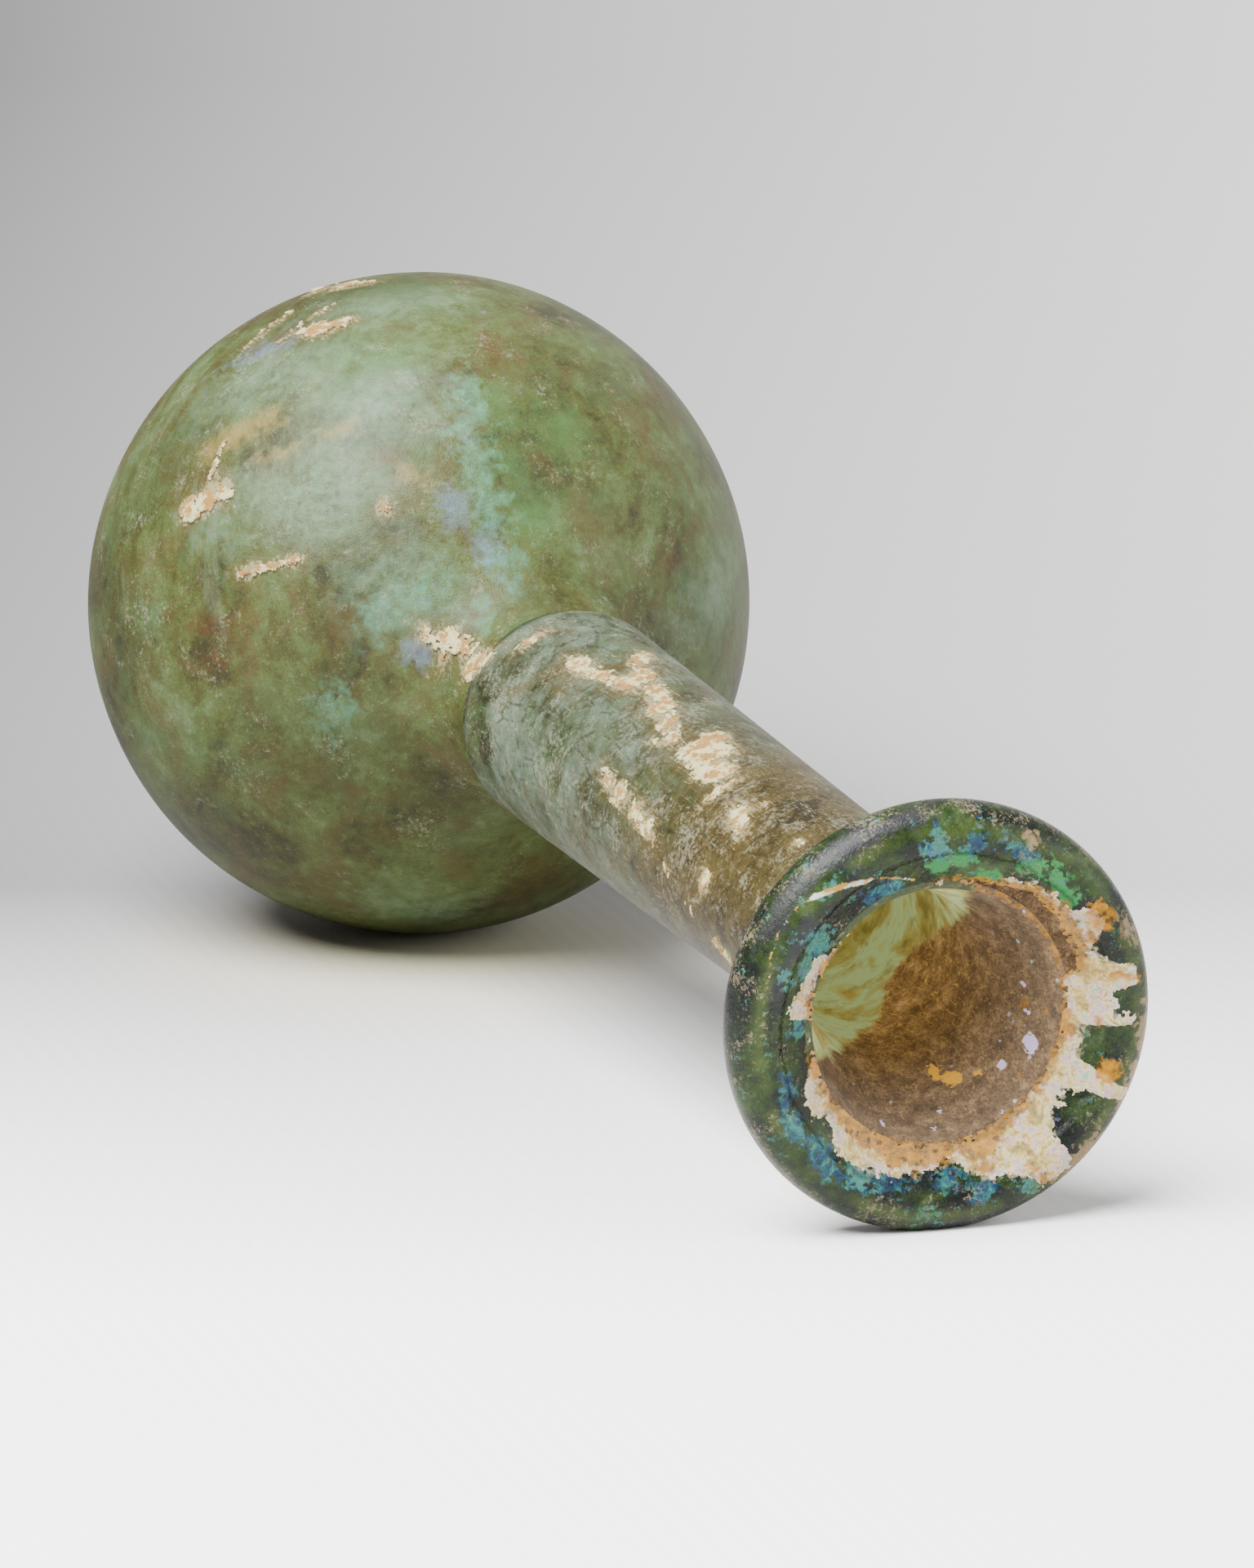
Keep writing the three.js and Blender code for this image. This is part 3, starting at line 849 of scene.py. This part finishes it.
def dust_specks():
    """Dust: fine rough clouds cut off high, more or less high where slow clouds say."""
    t, i, o = new_group("dust_specks", [("Place", VECTOR, None), ("Size", FLOAT, 2.2),
                                        ("Share", FLOAT, 0.3)], [("Mask", FLOAT)])
    fine = clouds(t, i["Place"], i["Size"], 5, 0.85)
    spread = clouds(t, i["Place"], 0.22, 2, 0.6)
    level = times(t, centred(t, spread), 0.5, fine)
    level = times(t, i["Share"], 0.25, level)
    put_in(t, o.inputs["Mask"], stepped(t, level, 0.60, 0.68))
    return t


TORN, GROUND, SHEEN, SPECKS = torn_edge(), weathered_ground(), sheen_film(), dust_specks()


# ---------------------------------------------------------------- materials

def new_material(name):
    """A material with its nodes, its shader and the place in millimetres."""
    material = bpy.data.materials.new(name)
    material.use_nodes = True
    t = material.node_tree
    t.nodes.clear()
    output = t.nodes.new("ShaderNodeOutputMaterial")
    shader = t.nodes.new("ShaderNodeBsdfPrincipled")
    t.links.new(shader.outputs[0], output.inputs["Surface"])
    return material, t, shader, millimetres(t)


def finish_surface(t, shader, colour, rough, height, shine=0.5):
    """Colour, roughness, a height in millimetres as bump, and how strongly it mirrors."""
    bump = node(t, "Bump", {"Height": height, "Strength": 1.0, "Distance": MM})
    put_in(t, shader.inputs["Base Color"], colour)
    put_in(t, shader.inputs["Roughness"], rough)
    put_in(t, shader.inputs["Normal"], bump.outputs[0])
    put_in(t, shader.inputs["Specular IOR Level"], shine)


def chance(t, place):
    """What the torn edges of a material share: fine clouds and the random values of wide and of
    narrow cells."""
    return [clouds(t, place, 0.55, 5, 0.62)] + [
        node(t, "SeparateColor",
             {"Color": cells(t, place, scale, "Color")}).outputs["Red"] for scale in (1.0, 2.0)]


def patch(t, shared, name, tear, sway, fine=False):
    """A field of the piece with its edge torn by the shared chances."""
    return use(t, TORN, {"Field": field(t, name), "Fine": shared[0], "Tear": tear,
                         "Block": shared[2 if fine else 1], "Sway": sway})


def torn(t, *of_patch):
    """The depth of a patch."""
    return patch(t, *of_patch)["Depth"]


def sheen(t, place, scale, shift):
    """The iridescent skin's colour at a scale and a place on its ladder."""
    return use(t, SHEEN, {"Place": place, "Scale": scale, "Shift": shift})["Colour"]


def mottled(t, place, slow, quick, stir, contrast, tones):
    """The mottled ground with its four tones, from the dark to the light clouds."""
    return use(t, GROUND, {"Place": place, "Slow": slow, "Quick": quick, "Stir": stir,
                           "Contrast": contrast, **dict(zip(LADDER, tones))})


def laid(t, colour, depth, low, high, strength, shade):
    """The shade over the colour, from none at the low depth to its full strength at the high."""
    factor = times(t, stepped(t, depth, low, high), strength)
    return blend(t, factor, colour, shade)


def overlaid(t, shared, colour, fine, patches):
    """Torn patches laid over the colour in turn, each with its field, tear, sway, low and high
    depth, strength and shade."""
    for name, tear, sway, *more in patches:
        colour = laid(t, colour, torn(t, shared, name, tear, sway, fine), *more)
    return colour


def outside_glass(name, tones, slow, dust, sooty):
    """Body and neck: mottled ground with brown and green drifts, pale and dark reaches, teal
    and lilac sheen, rust, dust, scratches and crusts."""
    material, t, shader, place = new_material(name)
    shared = chance(t, place)
    ground = mottled(t, place, slow, 0.5, 0.55, 0.8, tones)
    colour, height = ground["Colour"], ground["Height"]
    for move, scale, coarse, low, high, strength, shade in (
            ((37, 11, 5), 0.11, 0.62, 0.50, 0.62, 0.6, "3d3218"),
            ((5, 71, 23), 0.10, 0.65, 0.52, 0.66, 0.5, "2e4426")):
        drift = clouds(t, turned(t, place, move=move), scale, 5, coarse, 0.6)
        colour = laid(t, colour, drift, low, high, strength, shade)
    if sooty:
        towards = times(t, clouds(t, place, 0.12, 5, 0.65), 60, field(t, "station"))
        soot = mottled(t, place, 0.18, 0.9, 0.8, 1.1,
                       ("1f190a", "302811", "383017", "463f26"))["Colour"]
        colour = laid(t, colour, towards, 108, 136, 1.0, soot)
        # Painted shade: a dark band in the crease at the pinch of the neck's foot.
        ring = away(t, field(t, "station"), 44.6)
        colour = laid(t, colour, ring, 3.4, 0.4, 0.8, "15180f")
    else:
        streak = node(t, "CombineXYZ", {0: times(t, field(t, "along"), 0.06),
                                        1: times(t, field(t, "across"), 0.32)})
        run = clouds(t, streak.outputs[0], 1.0, 6, 0.7, 0.5)
        streaky = field(t, "streaky")
        for low, high, strength, shade in ((0.54, 0.68, 0.22, "66705c"),
                                           (0.46, 0.34, 0.6, "2c2c14")):
            colour = blend(t, times(t, times(t, streaky, strength), stepped(t, run, low, high)),
                           colour, shade)
        bloom = mottled(t, turned(t, place, move=(9, 3, 50)), 0.16, 0.8, 0.8, 0.6,
                        ("3a482e", "4a604a", "556d54", "617163"))["Colour"]
        colour = overlaid(t, shared, colour, False, (
            ("pale", 1.0, 12.0, -3.0, 6.0, 0.72, bloom),
            ("dark", 1.0, 12.0, -3.5, 6.0, 0.42, "1e1f0c"),
            ("yellowed", 0.8, 6.0, -0.8, 1.6, 0.55, "786535")))
    brightened = blend(t, 0.5, sheen(t, place, 0.35, 0.05), "568a68")
    colour = overlaid(t, shared, colour, False, (
        ("green", 1.4, 11.0, -2.0, 4.0, 0.5, "375a2e"),
        ("teal", 1.6, 11.0, -1.4, 3.0, 0.6, brightened),
        ("blue", 1.2, 5.0, -1.2, 1.8, 0.40, "5c6b8a"),
        ("rust", 1.0, 8.0, -0.8, 1.8, 0.6, "3f2610")))
    fibres = clouds(t, turned(t, place, scale=(3.6, 0.30, 1.4), turn=(0.2, 0.3, 0.7)),
                    1.0, 4, 0.75)
    colour = laid(t, colour, fibres, 0.58, 0.70, 0.34 if sooty else 0.16, "7f7f6b")
    crossed = clouds(t, turned(t, place, scale=(0.35, 3.4, 1.6), turn=(0.1, 0.2, 0.5)),
                     1.0, 4, 0.75)
    colour = laid(t, colour, crossed, 0.60, 0.70, 0.5 if sooty else 0.2, "23200f")
    specks = use(t, SPECKS, {"Place": place, "Size": 1.8, "Share": dust})
    colour = blend(t, times(t, specks["Mask"], 0.4), colour, "7d7b6a")
    if sooty:
        hair = cells(t, turned(t, place, scale=(1, 0.45, 1), turn=(0.4, 0.3, 0.9)), 0.30,
                     feature="DISTANCE_TO_EDGE")
        hair = times(t, stepped(t, hair, 0.05, 0.015), stepped(t, shared[0], 0.48, 0.56))
        colour = blend(t, times(t, hair, 0.55), colour, "1a170c")
    slit = stepped(t, field(t, "slit"), -0.05, 0.03)
    colour = blend(t, slit, colour, "14120c")
    height = times(t, slit, -0.15, height)
    rough = times(t, ground["Grain"], 0.30, 0.30)
    rough = times(t, specks["Mask"], 0.2, rough)
    near = torn(t, shared, "crust", 0.6, 3.0, True)
    colour = laid(t, colour, near, -1.6, -0.2, 0.35, "4c3c1e")
    colour = laid(t, colour, times(t, fibres, 4.0, near), 1.5, 2.3, 0.55, "8d8462")
    scratch = stepped(t, field(t, "scratch"), -0.06, 0.05)
    colour = blend(t, times(t, scratch, 0.5), colour, "8c866a")
    finish_surface(t, shader, colour, rough, height, 0.12 if sooty else 0.16)
    return material


def rim_glass():
    """The thick rim: near-black green, sheen patches, a painted highlight along the roll's crest,
    painted shade in the seam's groove, dust, flaking film and an ochre ring.
    """
    material, t, shader, place = new_material("rim_glass")
    shared = chance(t, place)
    ground = mottled(t, place, 0.13, 0.7, 0.6, 0.9, ("070a09", "0e150d", "1a270d", "2d3b1f"))
    colour, height = ground["Colour"], ground["Height"]
    colour = overlaid(t, shared, colour, True, (
        ("purple", 1.0, 3.4, -0.15, 0.25, 0.6, "221f27"),
        ("green", 1.0, 3.4, -0.15, 0.25, 0.75, "226e38"),
        ("blue", 1.0, 3.6, -0.15, 0.25, 0.72, sheen(t, place, 0.7, -0.08)),
        ("teal", 1.0, 3.6, -0.15, 0.25, 0.72, sheen(t, place, 0.7, 0.03))))
    bits = stepped(t, clouds(t, turned(t, place, move=(3, 40, 9)), 0.42, 7, 0.78), 0.60, 0.625)
    scrap = sheen(t, turned(t, place, move=(8, 2, 4)), 0.4, 0.06)
    colour = blend(t, times(t, bits, 0.6), colour, scrap)
    lip = field(t, "lip")
    # Painted highlight: an olive band along the crest of the rim's roll, for light through the
    # folded glass, broken by clouds.
    painted_ridge_highlight = stepped(t, away(t, lip, 20.7), 1.1, 0.2)
    painted_ridge_highlight = times(t, painted_ridge_highlight, stepped(t, clouds(t, place, 0.22, 4), 0.36, 0.60))
    colour = blend(t, times(t, painted_ridge_highlight, 0.48), colour, "3c4a1e")
    # The seam's groove: a real shallow dip as bump, darkened by painted shade, broken by clouds.
    seam_groove_and_shade = stepped(t, away(t, lip, 18.0), 0.5, 0.1)
    seam_groove_and_shade = times(t, seam_groove_and_shade, stepped(t, shared[0], 0.42, 0.56))
    colour = blend(t, times(t, seam_groove_and_shade, 0.45), colour, "080a07")
    height = times(t, seam_groove_and_shade, -0.12, height)
    edge = stepped(t, lip, 21.6, 23.0)
    specks = use(t, SPECKS, {"Place": place, "Size": 2.4, "Share": times(t, edge, 0.30, -0.03)})
    colour = blend(t, times(t, specks["Mask"], 0.6), colour, "766b56")
    colour = overlaid(t, shared, colour, True, [("beige", 1.2, 3.4, -0.2, 0.5, 0.7, "766243")])
    rough = times(t, ground["Grain"], 0.25, 0.16)
    rough = times(t, specks["Mask"], 0.3, rough)
    film = patch(t, shared, "film", 0.9, 1.3, True)
    colour = laid(t, colour, film["Depth"], 0.05, 0.4, 0.8, "7c7458")
    rough = between(t, film["Mask"], rough, 0.5)
    colour, rough, height = ochre_ring(t, shared, place, colour, rough, height, 0.18)
    soil = patch(t, shared, "soil", 0.6, 1.0, True)
    colour = blend(t, soil["Mask"], colour, blend(t, 0.35, soil_tones(t, place), "1a0f08"))
    rough = between(t, soil["Mask"], rough, 0.85)
    crack = stepped(t, maths(t, "ADD", centred(t, clouds(t, place, 1.6, 5, 0.75)),
                             field(t, "crack")), -0.05, 0.05)
    line = blend(t, stepped(t, clouds(t, place, 0.8, 3, 0.6), 0.45, 0.55), "a0a498", "8a6826")
    colour = blend(t, crack, colour, line)
    rough = between(t, crack, rough, 0.6)
    finish_surface(t, shader, colour, rough, height, 0.14)
    return material


def film_tones(t, place):
    """The pale film: cream, beige, pink and pale green clouds with fine dirt and stains."""
    pale = ramp(t, clouds(t, place, 0.45, 6, 0.74, 0.4),
                [(0.34, "5c5426"), (0.41, "7d6a30"), (0.46, "9a8748"), (0.52, "aa9e74"),
                 (0.56, "8a668a"), (0.60, "a49c74"), (0.65, "5c9468"), (0.71, "6488a0")])
    streak = clouds(t, place, 2.2, 6, 0.8)
    pale = laid(t, pale, streak, 0.50, 0.66, 0.55, "625638")
    pale = laid(t, pale, clouds(t, place, 1.1, 5, 0.75), 0.56, 0.64, 0.65, "94641f")
    return pale, streak


def ochre_tones(t, place):
    """Orange-brown crust with dark pits of uneven spacing."""
    ochre = ramp(t, clouds(t, place, 0.8, 6, 0.75),
                 [(0.30, "3c2808"), (0.42, "664808"), (0.52, "885a08"), (0.66, "986f20")])
    stir = node(t, "TexNoise", {"Vector": place, "Scale": 0.9}).outputs["Color"]
    bent = node(t, "VectorMath", {0: place, 1: stir})
    pits = stepped(t, cells(t, bent.outputs[0], 1.0), 0.34, 0.20)
    return blend(t, times(t, pits, 0.8), ochre, "2c1a0e"), pits


def ochre_ring(t, shared, place, colour, rough, height, sunk):
    """Colour, roughness and height with the ochre ring laid over them and its pits sunk."""
    ochre, pits = ochre_tones(t, place)
    lay = times(t, stepped(t, torn(t, shared, "ochre", 0.7, 2.2, True), -0.25, 0.3), 0.92)
    return (blend(t, lay, colour, ochre), between(t, lay, rough, 0.8),
            times(t, times(t, pits, lay), -sunk, height))


def soil_tones(t, place):
    """Dried soil: brown clouds with tan roots and pale crumbs."""
    soil = ramp(t, clouds(t, place, 0.45, 7, 0.75),
                [(0.28, "2c2013"), (0.42, "463522"), (0.54, "604b33"), (0.68, "7e674b")])
    roots = clouds(t, turned(t, place, scale=(2.4, 0.8, 2.4), turn=(0.3, 0.2, 0.5)),
                   0.8, 4, 0.7, 1.2)
    soil = laid(t, soil, roots, 0.55, 0.62, 0.6, "8c7044")
    soil = laid(t, soil, clouds(t, place, 3.2, 3, 0.8), 0.52, 0.40, 0.55, "1d130a")
    crumbs = stepped(t, clouds(t, place, 2.4, 5, 0.8), 0.64, 0.70)
    return blend(t, times(t, crumbs, 0.5), soil, "a8987c")


def lining():
    """Inside: dried soil near the mouth, and deeper and to one side thin clean glass; a painted
    glow (emission) stands in for daylight coming through that glass, and a weaker painted glow
    lies on the soil over it."""
    material, t, shader, place = new_material("soil_lining")
    shared = chance(t, place)
    soil = soil_tones(t, place)
    glass = ramp(t, clouds(t, place, 0.16, 6, 0.65, 0.5),
                 [(0.32, "655a26"), (0.43, "877c40"), (0.53, "8f9f6c"), (0.62, "8d9258"),
                  (0.70, "8f7438")])
    brown = clouds(t, place, 0.35, 6, 0.7)
    glass = laid(t, glass, brown, 0.56, 0.66, 0.5, "5c4216")
    open_glass = stepped(t, torn(t, shared, "clear", 1.0, 5.0), -0.9, 0.9)
    colour = blend(t, open_glass, soil, glass)
    colour = overlaid(t, shared, colour, True, (
        ("ochre", 0.5, 1.4, -0.1, 0.2, 0.9, ochre_tones(t, place)[0]),
        ("flake", 0.5, 1.0, -0.02, 0.03, 1.0, "b0801c")))
    dots = times(t, stepped(t, cells(t, place, 0.55), 0.17, 0.11),
                 stepped(t, field(t, "station"), 140, 147))
    dots = times(t, dots, stepped(t, shared[0], 0.50, 0.53))
    colour = blend(t, dots, colour, blend(t, shared[1], "8a7c9c", "86a094"))
    colour = overlaid(t, shared, colour, True, [("pearl", 0.3, 0.5, -0.02, 0.03, 1.0, "a79ab4")])
    lipward = times(t, stepped(t, field(t, "station"), 149.4, 150.2), open_glass)
    colour = blend(t, lipward, colour, "2f3a1c")
    # Painted glow: emission standing in for daylight coming through the glass; on the soil it
    # grows deeper in, on the clear glass it is even, near the lip there is none.
    painted_glow = blend(t, stepped(t, field(t, "station"), 147, 130), "332a1e", "ccbc98")
    painted_glow = blend(t, open_glass, painted_glow, "8c8c8c")
    painted_glow = blend(t, lipward, painted_glow, "000000")
    painted_glow = blend(t, 1.0, colour, painted_glow, "MULTIPLY")
    finish_surface(t, shader, colour, 0.8, times(t, clouds(t, place, 1.0, 7, 0.75), 0.45))
    put_in(t, shader.inputs["Emission Color"], painted_glow)
    shader.inputs["Emission Strength"].default_value = 3.0
    return material


def loose_film():
    """The pale film that stands off the rim, stained orange at the mouth."""
    material, t, shader, place = new_material("loose_film")
    shared = chance(t, place)
    pale, streak = film_tones(t, place)
    edge = stepped(t, field(t, "depth"), 0.30, 0.0)
    pale = blend(t, times(t, edge, 0.5), pale, "b0b0a0")
    dressed = ochre_ring(t, shared, place, pale, 0.45, times(t, streak, 0.10), 0.12)
    finish_surface(t, shader, *dressed)
    return material


def loose_crust():
    """Cream crust with stained blotches."""
    material, t, shader, place = new_material("loose_crust")
    blotch = stepped(t, clouds(t, place, 0.55, 5, 0.75), 0.47, 0.53)
    crust = blend(t, times(t, blotch, 0.9), "aba376", "80560a")
    fine = clouds(t, place, 2.6, 5, 0.8)
    crust = laid(t, crust, fine, 0.55, 0.68, 0.5, "75694a")
    crust = laid(t, crust, field(t, "depth"), 0.3, -0.05, 0.5, "7f8268")
    finish_surface(t, shader, crust, 0.8, times(t, fine, 0.2))
    return material


# ---------------------------------------------------------------- stage

RIGHT = Vector((0.92333, -0.384, 0.0))
UP = Vector((0.08045, 0.19343, 0.97781))
BACK = Vector((-0.37548, -0.90284, 0.20949))
AWAY = Vector((0.384, 0.92333, 0.0))
CAMERA_PLACE = (-0.34523, -0.83597, 0.2228)
FOCAL, FRAME_HEIGHT, SENSOR = 10000, 1920, 36  # focal length and frame in pixels, sensor in mm


def set_camera():
    """The photo's place and view."""
    camera = bpy.data.objects.new("camera", bpy.data.cameras.new("camera"))
    bpy.context.scene.collection.objects.link(camera)
    camera.data.sensor_width = SENSOR
    camera.data.lens = FOCAL / FRAME_HEIGHT * SENSOR
    camera.data.clip_end = 20
    facing = Matrix((RIGHT, UP, BACK)).transposed().to_4x4()
    camera.matrix_world = Matrix.Translation(CAMERA_PLACE) @ facing
    bpy.context.scene.camera = camera


def pale_cloth():
    """Pale cloth of the studio floor: fine slanting ribs, hardly darker in the valleys. Painted
    shade darkens it towards the back, the left and up the wall, and a painted yellow-green patch
    under the flask stands in for light through the glass.
    """
    material, t, shader, place = new_material("pale_cloth")
    ribs, crossed = (
        node(t, "TexWave", {"Vector": turned(t, place, turn=(0, 0, slant)), "Scale": scale,
                            "Distortion": bent, "Detail": 2, "Detail Scale": 1.5}).outputs["Fac"]
        for slant, scale, bent in ((0.12, 0.125, 0.6), (1.35, 0.175, 0.8)))
    weave = times(t, crossed, 0.5, ribs)
    high = node(t, "SeparateXYZ", {0: place}).outputs[2]
    weave = times(t, weave, stepped(t, high, 14.0, 0.0))
    colour = blend(t, times(t, weave, 0.6), "f2f1f0", "f8f7f6")
    # Painted shade: the cloth darkens towards the back, to the left and up the wall, a little
    # more towards its top.
    aside, behind = (
        node(t, "VectorMath", {0: place, 1: way}, operation="DOT_PRODUCT").outputs["Value"]
        for way in (RIGHT, AWAY))
    left = stepped(t, aside, 110, -110)
    far = stepped(t, behind, -120.0, 75.0)
    rise = stepped(t, high, 0.0, 80.0)
    shade = times(t, left, 0.27, 0.61)
    shade = times(t, rise, times(t, left, 0.045, 0.04), shade)
    shade = times(t, stepped(t, high, 60.0, 200.0), 0.014, shade)
    colour = blend(t, times(t, far, shade), colour, "1c1c1d")
    # Painted light and shade: a soft yellow-green patch on the floor under the flask, for light
    # tinted by the glass in its shadow.
    reach = node(t, "VectorMath", {0: place, 1: (-4, 44, 0)}, operation="DISTANCE")
    painted_tinted_shade = times(t, stepped(t, reach.outputs["Value"], 42, 8), 0.45)
    colour = blend(t, painted_tinted_shade, colour, "b3aa70")
    finish_surface(t, shader, colour, 0.9, times(t, weave, 0.012))
    output = t.nodes["Material Output"]
    clear = node(t, "BsdfTransparent")
    seen = node(t, "NewGeometry").outputs["Backfacing"]
    choose = node(t, "MixShader", {0: seen, 1: shader.outputs[0], 2: clear.outputs[0]})
    t.links.new(choose.outputs[0], output.inputs["Surface"])
    return material


def sweep():
    """Floor and backdrop in one: a level sheet that turns up on a quarter round behind the
    flask and goes on as a wall, level across the camera's view. Behind the wall, which is clear
    from its back, the level floor goes on."""
    start, bow, high, reach, half = 0.070, 0.22, 0.9, 3.0, 2.5
    level = np.array([[-reach, 0.0], [start, 0.0]])
    turn = np.linspace(0, np.pi / 2, 25)[1:]
    curve = np.stack([start + bow * np.sin(turn), bow * (1 - np.cos(turn))], 1)
    run = np.concatenate([level, curve, [[start + bow, high]]])
    across = np.linspace(-half, half, 3)
    away, side = np.array(AWAY), np.array(RIGHT)
    grid = (run[:, None, :1] * away + run[:, None, 1:] * np.array([0, 0, 1.0])
            + across[None, :, None] * side)
    points = grid.reshape(-1, 3)
    i, j = np.meshgrid(np.arange(len(run) - 1), np.arange(2), indexing="ij")
    quads = np.stack([i * 3 + j, i * 3 + j + 1, (i + 1) * 3 + j + 1, (i + 1) * 3 + j], -1)
    behind = (np.array([[start], [reach]])[:, None] * away + across[None, [0, 2], None] * side)
    points = np.concatenate([points, behind.reshape(-1, 3)])
    last = len(points) - 4
    quads = np.concatenate([quads.reshape(-1, 4), [[last, last + 1, last + 3, last + 2]]])
    floor = new_mesh("studio_sweep", points, quads.tolist())
    floor.data.materials.append(pale_cloth())


def soft_light(name, towards, distance, size, power):
    """A round soft light at a distance in a direction from the flask, turned to it."""
    light = bpy.data.lights.new(name, "AREA")
    light.shape, light.size, light.energy = "DISK", size, power
    lamp = bpy.data.objects.new(name, light)
    bpy.context.scene.collection.objects.link(lamp)
    direction = Vector(towards).normalized()
    lamp.location = Vector((0, 0, 0.03)) + direction * distance
    lamp.rotation_mode = "QUATERNION"
    lamp.rotation_quaternion = direction.to_track_quat("Z", "Y")


def set_light():
    """Daylight from the left and above, a weak fill from the right and a pale room."""
    soft_light("key", (-0.50, -0.25, 0.9), 1.1, 0.9, 74)
    soft_light("fill", (0.8, -0.6, 0.35), 1.4, 1.0, 18)
    world = bpy.data.worlds.new("studio")
    bpy.context.scene.world = world
    world.use_nodes = True
    ground = world.node_tree.nodes["Background"]
    ground.inputs["Color"].default_value = tone("e8e8ea")
    ground.inputs["Strength"].default_value = 0.37


set_camera()
sweep()
set_light()
flask = blown_flask()
body_tones = ("24230f", "343616", "3c4622", "4a5838")
neck_tones = ("1c1e0f", "323727", "414b3d", "505a4c")
for made in (outside_glass("body_glass", body_tones, 0.075, 0.0, False),
             outside_glass("neck_glass", neck_tones, 0.12, 0.2, True), rim_glass(), lining()):
    flask.data.materials.append(made)

flakes("mouth_film", on_front, np.arange(0, 360, 0.4), np.arange(13.7, 22.4, 0.14), film_bound,
       0.16, loose_film(), mouthwards, wraps=True)
cream = loose_crust()
flakes("neck_crusts", on_outside, np.arange(-122, 238, 0.65), np.arange(42.4, 127.0, 0.15),
       crust_bound, 0.26, cream, outwards)
flakes("body_crusts", on_outside, np.arange(-75, 285, 0.3), np.arange(-32.0, 42.3, 0.2),
       crust_bound, 0.24, cream, outwards)
